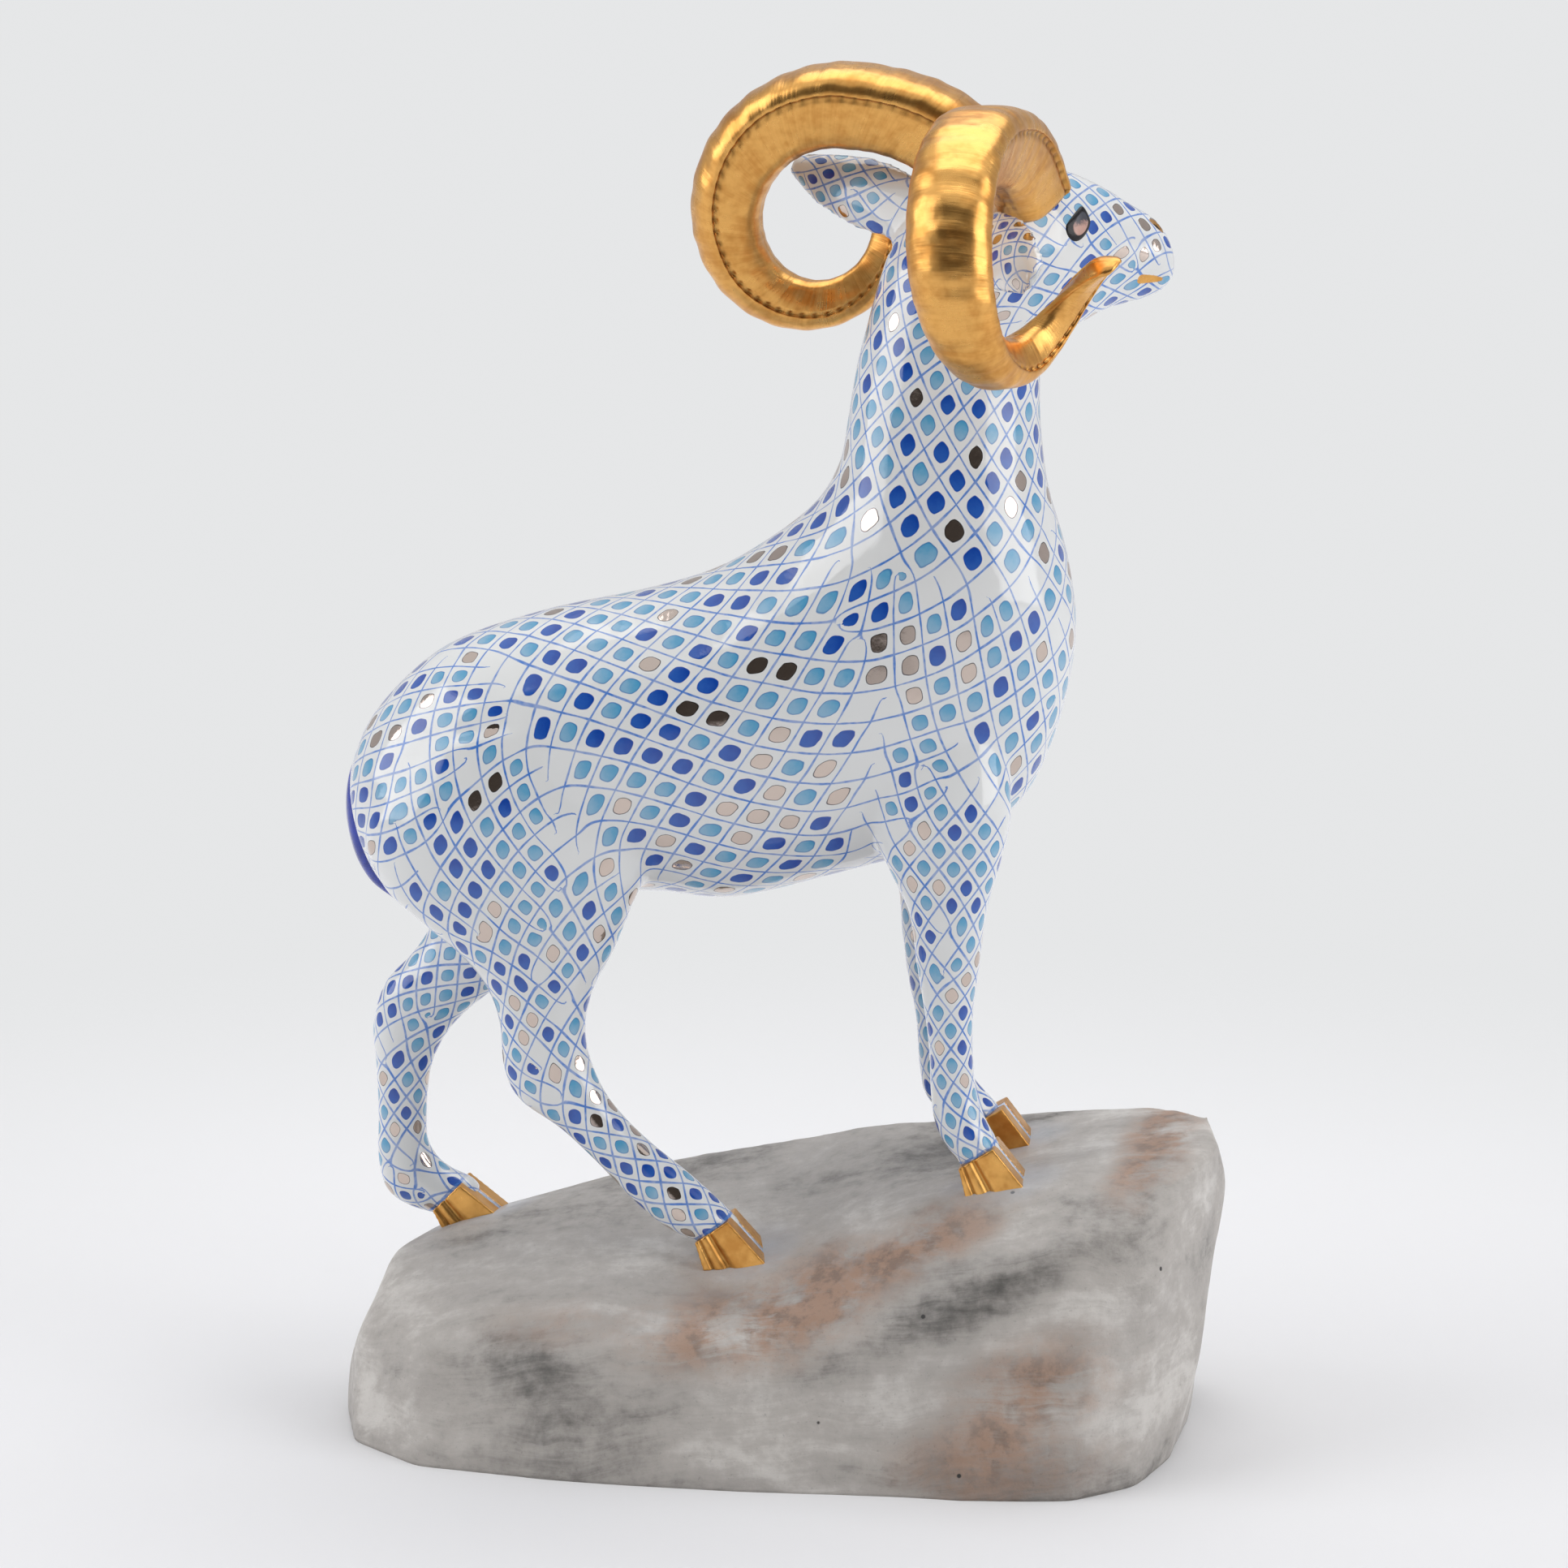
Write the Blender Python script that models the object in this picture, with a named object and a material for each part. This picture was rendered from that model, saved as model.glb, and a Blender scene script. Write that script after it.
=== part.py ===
"""Porcelain ram figurine: a ram with curled horns on a rock, fired as one piece.

The ram faces +X and its left side is +Y. Z is up and the rock's foot rests on Z = 0.
Rows of the shape tables are in millimetres and are turned into metres where they are used.
Heights in the ram's tables are measured from the rock's highest point.
"""
import math

import bmesh
import bpy
from mathutils import Matrix, Vector
from mathutils.bvhtree import BVHTree

MM = 0.001
NODE = "ram_figurine"

# Rock
ROCK_HEIGHT = 56.5
FOOT_RIM_WIDTH = 8.0
FOOT_RECESS = 2.5
VENT_RADIUS = 4.0
VENT_DEPTH = 12.0
ROCK_EDGE_RADIUS = 3.0
# x, y of the foot outline, anticlockwise from the left end
ROCK_FOOT = (
    (-81, -9), (-75, -29), (-61, -42), (-38, -46.5), (0, -47.5), (38, -47.2), (57, -44),
    (67, -35), (72, -18), (74, 8), (71, 32), (44, 45), (2, 48), (-42, 46), (-70, 31), (-80, 10),
)
# x, y and depth below the rock's highest point, round the widest part and over the top
ROCK_GIRTH = (
    (-81, -8, 48), (-79, -8, 42.5), (-76, -20, 38.5), (-62, -33, 36.5), (-36, -39, 34.5), (-5, -41, 35.5),
    (11, -42, 35), (33, -40, 28), (60, -38, 26), (70, -30, 22), (78, -12, 37), (80, -4, 24),
    (81.5, 5, 12), (79, 22, 18), (62, 38, 24), (10, 43, 30), (-42, 40, 36), (-68, 28, 38), (-78, 8, 40),
)
ROCK_TOP = (
    (-74, 2, 28.5), (-69, -15, 31.5), (-50, -27, 29), (-34, -30, 27.5), (-12, -29, 25), (10, -31, 23.5),
    (36, -33, 18), (54, -32, 14), (67, -26, 9), (76, -14, 3.5), (79.5, -2, 1.5), (77, 12, 0),
    (68, 24, 2), (44, 30, 5), (10, 30, 9), (-20, 28, 15), (-50, 24, 23), (-70, 14, 28),
    (34, -18, 8.2), (46, -18, 6.4), (-13, -19, 23.5), (38, 9, 9), (46, 9, 6.6), (-67, 9.5, 27),
    (-54, 9.5, 22.6),
)
# x, y and depth below the highest point of shallow hollows beaten into the hull, then radius and depth
ROCK_HOLLOWS = (
    (-3, -20, 19.5, 26, 6.2), (36, 10, 6.5, 15, 1.3), (24, -46, 42.5, 20, 2.0),
    (-46, -44, 44.5, 22, 1.6), (-10, -44, 30.5, 12, -0.9),
    (52, -42, 24.5, 13, 1.3), (76, 8, 28.5, 16, 1.4), (-78, 4, 44.5, 15, 1.0), (10, 46, 36.5, 24, 1.8),
    (-50, 42, 38.5, 20, 1.4),
)

# Ram's body: back x, z, belly x, z, and half width, from the rump to the crown
BODY = (
    (-78.3, 56.5, -76.0, 47.5, 5), (-79.2, 63.5, -71.2, 39.3, 13), (-74.3, 74.2, -60.7, 35.5, 19),
    (-62.0, 85.5, -50.0, 37.5, 22), (-44.0, 92.3, -38.0, 39.5, 22.5), (-25.0, 96.7, -24.0, 41.5, 23),
    (-12.0, 100.9, -9.0, 40.7, 23.5), (-1.0, 107.5, 9.0, 45.3, 23.5), (6.5, 114, 29.0, 51.5, 23),
    (10.3, 121, 42.0, 58.5, 22), (11.5, 127.5, 49.2, 72.5, 21), (12.4, 133.5, 52.5, 89.5, 19),
    (13.4, 139, 51.0, 103.5, 16.4), (14.8, 144.5, 47.3, 116.5, 15.0), (16.4, 150.5, 45.8, 128.5, 13.8),
    (18.4, 157, 45.6, 138.5, 13.0), (21.4, 163, 44.6, 147.5, 12.0), (27.0, 169.5, 43.0, 156.5, 9),
)

# Head: forward of the crown, top z, underside z and half width, in the head's own frame
HEAD_PLACE = (38.6, -4.3, 168)
HEAD_TURN = 37.0
HEAD_NOD = -4.0
HEAD_TILT = 4.4
HEAD = (
    (-15, -4, -18, 6), (-12, 1, -23, 9.5), (-5, 5.0, -26, 11), (3, 6.0, -27, 10.8), (9, 4.6, -26.2, 9.8),
    (15, 2.6, -24.6, 8.3), (21, -0.4, -22.6, 6.9), (27, -4.2, -21.9, 5.9), (31.5, -7.0, -21.2, 5.3),
    (33.9, -10.4, -19.8, 4.3), (34.8, -13.6, -18.2, 2.6),
)
EYE = (12.0, 7.3, -5.4)
EYE_RADIUS = 2.3

# Ears, in the head's own frame
EAR_ROOT = (-8.5, 7.5, -4.6)
# The left ear is on side 1 and the right ear on side -1
EAR_TIPS = {1: (-20.2, 36.8, 2.7), -1: (-16.8, -37.8, -6.6)}
EAR_WIDTH = 13.6
EAR_THICKNESS = 2.8
EAR_HOLLOW = 1.3
EAR_ROOT_SHARE = 0.12
EAR_TIP_SHARE = 0.34
EAR_BLUNTNESS = 0.75
EAR_TAPER = 0.5
EAR_FACING = (0.75, 0.0, -0.45)

# Horns: a spiral of shrinking radius about a centre beside the ear, in the head's own frame
HORN_CENTRE = (-19.6, 27.6, -10.3)
HORN_RADIUS = 32.4
HORN_SHRINK = 0.231
HORN_PHASE = 22.9
HORN_YAW = -43.0
HORN_ROLL = 1.5
HORN_SPREAD = 0.91
HORN_ENTRY = -2.68
HORN_RINGS = 30
RIGHT_HORN_SIZE = 0.94
HORN_END_ROUND = 2.0
# angle round the spiral from root to tip, thickness, width and shift towards the spiral's middle
HORN_SECTIONS = (
    (21, 16.0, 15.0, 0.5), (45, 16.6, 16.2, 0.3), (70, 15.9, 16.6, 0.6), (83, 15.6, 16.5, 0.1),
    (100, 15.2, 16.5, -0.2), (125, 14.8, 16.5, -0.2), (164, 13.4, 16.0, 0.0), (211, 11.4, 13.8, 0.0),
    (260, 9.3, 10.6, 0.0), (301, 7.8, 8.2, 0.0), (350, 6.2, 6.4, 0.0), (389, 5.0, 5.2, 0.0),
)

# Legs: front x, z, rear x, z and half width, from the trunk down into the hoof
FORE_SPREAD = 13.0
HIND_SPREAD = 14.0
NEAR_FORELEG = (
    (40, 77.5, 12, 73.5, 7), (42.5, 61.5, 17, 57.5, 8.5), (41.0, 52, 21.0, 48.5, 7.6),
    (38.3, 42, 24.3, 41.5, 6.3),
    (37.2, 32.5, 25.6, 32.5, 5.5), (36.1, 24, 27.1, 23.5, 4.8), (36.0, 17, 28.0, 16.5, 4.5),
    (36.6, 9.5, 28.3, 8.5, 4.1), (38.1, 4.5, 29.4, 2, 4.5), (40.0, 0.9, 32.6, -3.1, 4.7),
    (41.5, -2, 35.0, -6, 4.2),
)
FAR_FORELEG = (
    (40, 77.5, 12, 73.5, 7), (40, 61.5, 13, 57.5, 8.5), (36.0, 52.5, 17.0, 48.5, 7.6),
    (32.6, 42, 19.2, 41.5, 6.3),
    (31.4, 32.5, 20.0, 32.5, 5.5), (30.3, 24, 21.2, 23.5, 4.8), (30.6, 17, 22.6, 16.5, 4.5),
    (31.6, 9.5, 23.2, 8.5, 4.1), (33.4, 5, 24.4, 1.5, 4.5), (36.4, 1.5, 29.0, -3.1, 4.7),
    (39.0, -1.1, 33.0, -5.7, 4.2),
)
NEAR_HIND_LEG = (
    (-34, 75.5, -66, 69.5, 8), (-25, 61.5, -74, 55.5, 11), (-22.5, 49.5, -71.5, 44.5, 10.8),
    (-25.4, 41.5, -65.0, 38, 9.6), (-28.7, 33.3, -57.0, 31.5, 8.0), (-32.7, 25.5, -52.2, 25.5, 6.6),
    (-34.2, 18.5, -50.0, 19, 5.6), (-33.2, 12.5, -49.4, 11, 5.2), (-30.6, 6.5, -46.6, 4.9, 4.9),
    (-26.3, 1.1, -39.2, -0.1, 4.6), (-21.4, -3.3, -32.0, -6.7, 4.4), (-16.0, -7.5, -25.2, -13.7, 4.5),
    (-11.2, -11.6, -19.0, -18.5, 4.8), (-7.4, -15.3, -14.0, -20.3, 4.7), (-5.6, -17.5, -11.8, -21.9, 4.2),
)
FAR_HIND_LEG = (
    (-34, 75.5, -66, 69.5, 8), (-26, 61.5, -76, 53.5, 11), (-29.0, 47.5, -76, 42.5, 10.4),
    (-38.0, 35.5, -72.0, 36, 9.0), (-47.5, 25.5, -68.6, 31, 7.4), (-56.0, 18.7, -72.0, 25, 6.2),
    (-62.6, 13.1, -77.2, 19.3, 5.5), (-66.6, 7.9, -79.7, 11.5, 5.0), (-69.0, 1.5, -79.3, 3.5, 4.5),
    (-69.7, -7.5, -79.0, -6.5, 4.2), (-69.4, -11.7, -79.2, -14.1, 4.5), (-67.2, -15.1, -77.6, -20.9, 4.8),
    (-64.4, -16.9, -73.0, -24.1, 4.7), (-61.4, -18.1, -68.8, -25.1, 4.7), (-59.4, -19.9, -66.4, -25.9, 4.2),
)

# Hooves: the side outline of a claw over its sole, and where each sole's middle stands
HOOF_LENGTH = 10.6
HOOF_HEEL_HEIGHT = 4.4
HOOF_HEEL_LEAN = 0.8
HOOF_FRONT_HEIGHT = 7.8
HOOF_FRONT_PLACE = 0.4
HOOF_TOE_HEIGHT = 0.7
HOOF_WIDTH = 9.8
HOOF_GAP = 0.9
HOOF_SINK = 1.4
HOOF_TOE_SPLAY = 0.35
HOOF_EDGE_ROUND = 0.5
NEAR_FORE_HOOF_X = 40.3
FAR_FORE_HOOF_X = 39.6
NEAR_HIND_HOOF_X = -6.7
FAR_HIND_HOOF_X = -60.5

# Tail: a leaf lying down the rump, outer x, z, inner x, z and half width
TAIL = (
    (-79.2, 64.4, -76.6, 64.0, 1.2), (-80.4, 60.5, -76.1, 60.3, 3.4), (-80.8, 55.6, -76.0, 56.2, 4.6),
    (-80.2, 50.4, -75.2, 52.2, 4.9), (-78.8, 45.6, -73.9, 48.4, 4.4), (-76.2, 41.3, -72.2, 44.7, 3.2),
    (-72.4, 38.3, -70.3, 41.0, 1.2),
)

# Fineness of the solid
SKIN_GRAIN = 1.1
SKIN_SMOOTHING = 7
SKIN_FACES = 5600
ROCK_GRAIN = 2.4
ROCK_FACES = 1700
ROCK_SMOOTHING = 5
SECTION_SIDES = 20
BODY_SIDES = 28
LEAF_SIDES = 16
LEAF_RINGS = 12
SPAN_STEPS = 3

# Rounding past the last section of each tube, and where its closing rings stand in degrees
BODY_END_ROUND = 2.0
HEAD_END_ROUND = 1.2
LEG_END_ROUND = 1.0
LEAF_END_ROUND = 0.8
END_ROUND_ANGLES = (35, 60, 78)

PORCELAIN_COLOUR = (0.86, 0.88, 0.92, 1.0)
PORCELAIN_ROUGHNESS = 0.12


def clear_objects():
    for item in list(bpy.data.objects):
        bpy.data.objects.remove(item, do_unlink=True)


def head_matrix():
    """Turn the head to the ram's left, nod it and tilt it about the crown."""
    turn = Matrix.Rotation(math.radians(HEAD_TURN), 4, "Z")
    nod = Matrix.Rotation(math.radians(HEAD_NOD), 4, "Y")
    tilt = Matrix.Rotation(math.radians(HEAD_TILT), 4, "X")
    place = Vector(HEAD_PLACE) + Vector((0.0, 0.0, ROCK_HEIGHT))
    return Matrix.Translation(place * MM) @ turn @ nod @ tilt


def smooth_rows(rows, steps):
    """Pass a Catmull-Rom curve through a table's rows, with steps rows to each span."""
    last = len(rows) - 1
    result = []
    for index in range(last):
        before = rows[max(index - 1, 0)]
        start = rows[index]
        end = rows[index + 1]
        after = rows[min(index + 2, last)]
        for step in range(steps):
            t = step / steps
            result.append([catmull_rom(values, t) for values in zip(before, start, end, after)])
    result.append(list(rows[last]))
    return result


def catmull_rom(values, t):
    a, b, c, d = values
    bend = (3 * b - a - 3 * c + d) * t + 2 * a - 5 * b + 4 * c - d
    return b + 0.5 * t * (c - a + t * bend)


def disc_matrix(centre, chord, across):
    """Place a unit circle: its X spans the chord and its Y spans the width."""
    along = chord.cross(across)
    columns = (chord, across, along.normalized() * chord.length)
    matrix = Matrix.Identity(4)
    for index, column in enumerate(columns):
        for row in range(3):
            matrix[row][index] = column[row]
    matrix.translation = centre
    return matrix


def loft(bm, discs, sides=SECTION_SIDES, outline=None):
    """Grow a closed tube through placed discs; an outline replaces the circle."""
    if outline is None:
        made = bmesh.ops.create_circle(bm, segments=sides, radius=1.0, cap_ends=True)
    else:
        made = {"verts": [bm.verts.new((x, y, 0.0)) for x, y in outline]}
        bm.faces.new(made["verts"])
    ring = made["verts"]
    bmesh.ops.transform(bm, matrix=discs[0], verts=ring)
    edges = rim_edges(ring)
    for before, after in zip(discs, discs[1:]):
        grown = bmesh.ops.extrude_edge_only(bm, edges=edges)["geom"]
        ring = [item for item in grown if isinstance(item, bmesh.types.BMVert)]
        edges = [item for item in grown if isinstance(item, bmesh.types.BMEdge)]
        bmesh.ops.transform(bm, matrix=after @ before.inverted(), verts=ring)
    bmesh.ops.contextual_create(bm, geom=edges)
    bmesh.ops.recalc_face_normals(bm, faces=bm.faces)


def rim_edges(ring):
    inside = set(ring)
    return list({edge for vert in ring for edge in vert.link_edges if set(edge.verts) <= inside})


def rounded_ends(discs, reach):
    """Close both ends of a tube with a quarter round of shrinking discs."""
    first = end_cap(discs[0], discs[1], reach)
    last = end_cap(discs[-1], discs[-2], reach)
    return list(reversed(first)) + discs + last


def end_cap(end, inner, reach):
    outward = (end.translation - inner.translation).normalized() * reach
    caps = []
    for angle in END_ROUND_ANGLES:
        size = math.cos(math.radians(angle))
        shifted = end @ Matrix.Diagonal((size, size, size, 1.0))
        shifted.translation = end.translation + outward * math.sin(math.radians(angle))
        caps.append(shifted)
    return caps


def side_discs(rows, middle_y):
    """Discs from rows that give two points in side view and a half width."""
    discs = []
    for top_x, top_z, low_x, low_z, half_width in smooth_rows(rows, SPAN_STEPS):
        top = Vector((top_x, middle_y, ROCK_HEIGHT + top_z)) * MM
        low = Vector((low_x, middle_y, ROCK_HEIGHT + low_z)) * MM
        across = Vector((0.0, half_width * MM, 0.0))
        discs.append(disc_matrix((top + low) / 2, (top - low) / 2, across))
    return discs


def add_body(bm):
    loft(bm, rounded_ends(side_discs(BODY, 0.0), BODY_END_ROUND * MM), sides=BODY_SIDES)


def add_head(bm):
    frame = head_matrix()
    discs = []
    for x, top, low, half_width in smooth_rows(HEAD, SPAN_STEPS):
        centre = Vector((x, 0.0, (top + low) / 2)) * MM
        chord = Vector((0.0, 0.0, (top - low) / 2 * MM))
        across = Vector((0.0, half_width * MM, 0.0))
        discs.append(frame @ disc_matrix(centre, chord, across))
    loft(bm, rounded_ends(discs, HEAD_END_ROUND * MM), sides=BODY_SIDES)
    for side in (-1, 1):
        place = frame @ Matrix.Translation(Vector((EYE[0], side * EYE[1], EYE[2])) * MM)
        bmesh.ops.create_icosphere(bm, subdivisions=2, radius=EYE_RADIUS * MM, matrix=place)


def add_ear(bm, side):
    """A leaf from the root to the tip, with its hollow facing forwards and down."""
    frame = head_matrix()
    root = Vector((EAR_ROOT[0], side * EAR_ROOT[1], EAR_ROOT[2])) * MM
    tip = Vector(EAR_TIPS[side]) * MM
    along = (tip - root).normalized()
    face = Vector(EAR_FACING)
    face = (face - along * face.dot(along)).normalized()
    wide = face.cross(along).normalized()
    discs = []
    for step in range(LEAF_RINGS + 1):
        t = step / LEAF_RINGS
        bulge = math.sin(math.pi * (EAR_ROOT_SHARE + (1 - EAR_ROOT_SHARE) * t)) ** EAR_BLUNTNESS
        width = EAR_WIDTH / 2 * (EAR_TIP_SHARE + (1 - EAR_TIP_SHARE) * bulge) * MM
        thick = EAR_THICKNESS / 2 * (1 + EAR_TAPER * (0.5 - t)) * MM
        sag = face * (EAR_HOLLOW * MM * math.sin(math.pi * t))
        centre = root.lerp(tip, t) - sag
        discs.append(frame @ disc_matrix(centre, wide * width, face * thick))
    loft(bm, rounded_ends(discs, LEAF_END_ROUND * MM), sides=LEAF_SIDES)


def make_tail():
    bm = bmesh.new()
    loft(bm, rounded_ends(side_discs(TAIL, 0.0), LEAF_END_ROUND * MM), sides=LEAF_SIDES)
    return new_object("tail", bm)


def new_object(name, bm):
    mesh = bpy.data.meshes.new(name)
    bm.to_mesh(mesh)
    bm.free()
    item = bpy.data.objects.new(name, mesh)
    bpy.context.collection.objects.link(item)
    return item


def settle(item):
    """Turn an object's modifiers into its mesh."""
    graph = bpy.context.evaluated_depsgraph_get()
    mesh = bpy.data.meshes.new_from_object(item.evaluated_get(graph))
    item.modifiers.clear()
    item.data = mesh
    return item


def reduce_to(item, faces):
    count = sum(len(polygon.vertices) - 2 for polygon in item.data.polygons)
    thin = item.modifiers.new("Thin", "DECIMATE")
    thin.ratio = min(1.0, faces / count)
    thin.use_collapse_triangulate = True
    return settle(item)


def make_skin():
    """The ram's trunk, neck, head, ears and legs, run together into one skin."""
    bm = bmesh.new()
    add_body(bm)
    add_head(bm)
    for side in (-1, 1):
        add_ear(bm, side)
    for rows, middle in leg_tables():
        loft(bm, rounded_ends(side_discs(rows, middle), LEG_END_ROUND * MM))
    skin = new_object("skin", bm)
    remesh = skin.modifiers.new("Run together", "REMESH")
    remesh.mode = "VOXEL"
    remesh.voxel_size = SKIN_GRAIN * MM
    smooth = skin.modifiers.new("Smooth", "SMOOTH")
    smooth.factor = 0.5
    smooth.iterations = SKIN_SMOOTHING
    settle(skin)
    return reduce_to(skin, SKIN_FACES)


def leg_tables():
    return (
        (NEAR_FORELEG, -FORE_SPREAD), (FAR_FORELEG, FORE_SPREAD),
        (NEAR_HIND_LEG, -HIND_SPREAD), (FAR_HIND_LEG, HIND_SPREAD),
    )


def horn_outline():
    """Keeled section: a domed outer face, two keels, flat sides and a narrow inner edge."""
    half = [(1.0, 0.0), (0.87, 0.5), (0.5, 0.87), (0.05, 1.0), (-0.45, 0.84), (-0.88, 0.54), (-1.0, 0.2)]
    mirrored = [(x, -y) for x, y in reversed(half[1:])]
    return half + mirrored


def horn_disc(angle, thick, wide, inset, side):
    """Placement of the horn's section at an angle in degrees round its spiral."""
    size = MM if side > 0 else MM * RIGHT_HORN_SIZE
    bend = math.radians(angle - HORN_PHASE)
    radius = HORN_RADIUS * math.exp(-HORN_SHRINK * bend)
    out = Vector((math.cos(math.radians(angle)), 0.0, math.sin(math.radians(angle))))
    spread = HORN_ENTRY * bend + HORN_SPREAD * bend * bend
    centre = out * (radius - inset) + Vector((0.0, spread, 0.0))
    local = disc_matrix(centre * size, out * (thick / 2 * size), Vector((0.0, wide / 2 * size, 0.0)))
    yaw = Matrix.Rotation(math.radians(HORN_YAW), 4, "Z")
    roll = Matrix.Rotation(math.radians(HORN_ROLL), 4, "X")
    placed = Matrix.Translation(Vector(HORN_CENTRE) * MM) @ yaw @ roll @ local
    mirror = Matrix.Diagonal((1.0, side, 1.0, 1.0))
    return head_matrix() @ mirror @ placed


def row_at(rows, value):
    """The table row at a value of its first column, on a straight line between rows."""
    for start, end in zip(rows, rows[1:]):
        if value <= end[0]:
            break
    share = (value - start[0]) / (end[0] - start[0])
    return [a + (b - a) * share for a, b in zip(start, end)]


def make_horn(side):
    discs = []
    first = HORN_SECTIONS[0][0]
    last = HORN_SECTIONS[-1][0]
    for ring in range(HORN_RINGS + 1):
        angle = first + (last - first) * ring / HORN_RINGS
        discs.append(horn_disc(*row_at(HORN_SECTIONS, angle), side))
    bm = bmesh.new()
    loft(bm, rounded_ends(discs, HORN_END_ROUND * MM), outline=horn_outline())
    return new_object("horn", bm)


def rock_point(row):
    x, y, depth = row
    return Vector((x, y, ROCK_HEIGHT - depth)) * MM


def make_rock():
    """A boulder hull through its foot, girth and top corners, rounded along its edges."""
    bm = bmesh.new()
    for x, y in ROCK_FOOT:
        bm.verts.new(Vector((x, y, -ROCK_EDGE_RADIUS)) * MM)
        bm.verts.new(Vector((x, y, ROCK_EDGE_RADIUS)) * MM)
    for row in ROCK_GIRTH + ROCK_TOP:
        bm.verts.new(rock_point(row))
    hull = bmesh.ops.convex_hull(bm, input=bm.verts)
    spare = hull["geom_interior"] + hull["geom_unused"]
    corners = {item for item in spare if isinstance(item, bmesh.types.BMVert)}
    bmesh.ops.delete(bm, geom=list(corners), context="VERTS")
    rock = new_object("rock", bm)
    remesh = rock.modifiers.new("Even", "REMESH")
    remesh.mode = "VOXEL"
    remesh.voxel_size = ROCK_GRAIN * MM
    smooth = rock.modifiers.new("Soften", "SMOOTH")
    smooth.factor = 0.5
    smooth.iterations = ROCK_SMOOTHING
    settle(rock)
    beat_hollows(rock)
    reduce_to(rock, ROCK_FACES)
    cut_foot(rock)
    return rock


def beat_hollows(rock):
    """Push the rock's surface in, or out where the depth is negative, round each centre."""
    normals = [vert.normal.copy() for vert in rock.data.vertices]
    for vert, normal in zip(rock.data.vertices, normals):
        shift = 0.0
        for x, y, below, radius, depth in ROCK_HOLLOWS:
            apart = (vert.co - rock_point((x, y, below))).length / (radius * MM)
            shift += depth * MM * math.exp(-apart * apart)
        vert.co -= normal * shift


def cut_foot(rock):
    """Cut the rock flat at its foot, then sink a recess and a vent inside the foot rim."""
    bm = bmesh.new()
    bm.from_mesh(rock.data)
    everything = bm.verts[:] + bm.edges[:] + bm.faces[:]
    cut = bmesh.ops.bisect_plane(
        bm, geom=everything, plane_co=(0, 0, 0), plane_no=(0, 0, -1), clear_outer=True)
    rim = [item for item in cut["geom_cut"] if isinstance(item, bmesh.types.BMEdge)]
    bmesh.ops.contextual_create(bm, geom=rim)
    bmesh.ops.recalc_face_normals(bm, faces=bm.faces)
    bm.to_mesh(rock.data)
    bm.free()
    combine(rock, [make_recess(), make_vent()], "DIFFERENCE")


def make_recess():
    """A shallow block that follows the foot's outline inside its rim."""
    bm = bmesh.new()
    foot = bm.faces.new([bm.verts.new(Vector((x, y, -FOOT_RECESS)) * MM) for x, y in ROCK_FOOT])
    bm.normal_update()
    rim = bmesh.ops.inset_region(
        bm, faces=[foot], thickness=FOOT_RIM_WIDTH * MM, use_boundary=True, use_even_offset=True)["faces"]
    bmesh.ops.delete(bm, geom=rim, context="FACES")
    grown = bmesh.ops.extrude_face_region(bm, geom=bm.faces[:])["geom"]
    lid = [item for item in grown if isinstance(item, bmesh.types.BMVert)]
    bmesh.ops.translate(bm, verts=lid, vec=(0.0, 0.0, 2 * FOOT_RECESS * MM))
    bmesh.ops.recalc_face_normals(bm, faces=bm.faces)
    return new_object("recess", bm)


def make_vent():
    bm = bmesh.new()
    bmesh.ops.create_cone(
        bm, cap_ends=True, segments=SECTION_SIDES, radius1=VENT_RADIUS * MM, radius2=VENT_RADIUS * MM,
        depth=VENT_DEPTH * MM, matrix=Matrix.Translation((0.0, 0.0, VENT_DEPTH / 2 * MM)))
    return new_object("vent", bm)


def rock_surface(rock, x, y):
    """Height of the rock's top under a point, in metres."""
    tree = BVHTree.FromPolygons(
        [vert.co for vert in rock.data.vertices], [polygon.vertices for polygon in rock.data.polygons])
    hit = tree.ray_cast(Vector((x * MM, y * MM, 1.0)), Vector((0.0, 0.0, -1.0)))
    return hit[0].z


def make_hooves(rock):
    """Two claws under each leg, their soles sunk a little into the rock."""
    places = (
        (NEAR_FORE_HOOF_X, -FORE_SPREAD), (FAR_FORE_HOOF_X, FORE_SPREAD),
        (NEAR_HIND_HOOF_X, -HIND_SPREAD), (FAR_HIND_HOOF_X, HIND_SPREAD),
    )
    claws = []
    for x, y in places:
        front = rock_surface(rock, x + HOOF_LENGTH / 2, y)
        heel = rock_surface(rock, x - HOOF_LENGTH / 2, y)
        slope = math.atan2(front - heel, HOOF_LENGTH * MM)
        sole = Vector((x * MM, y * MM, (front + heel) / 2))
        for side in (-1, 1):
            claws.append(make_claw(sole, slope, side))
    return claws


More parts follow.
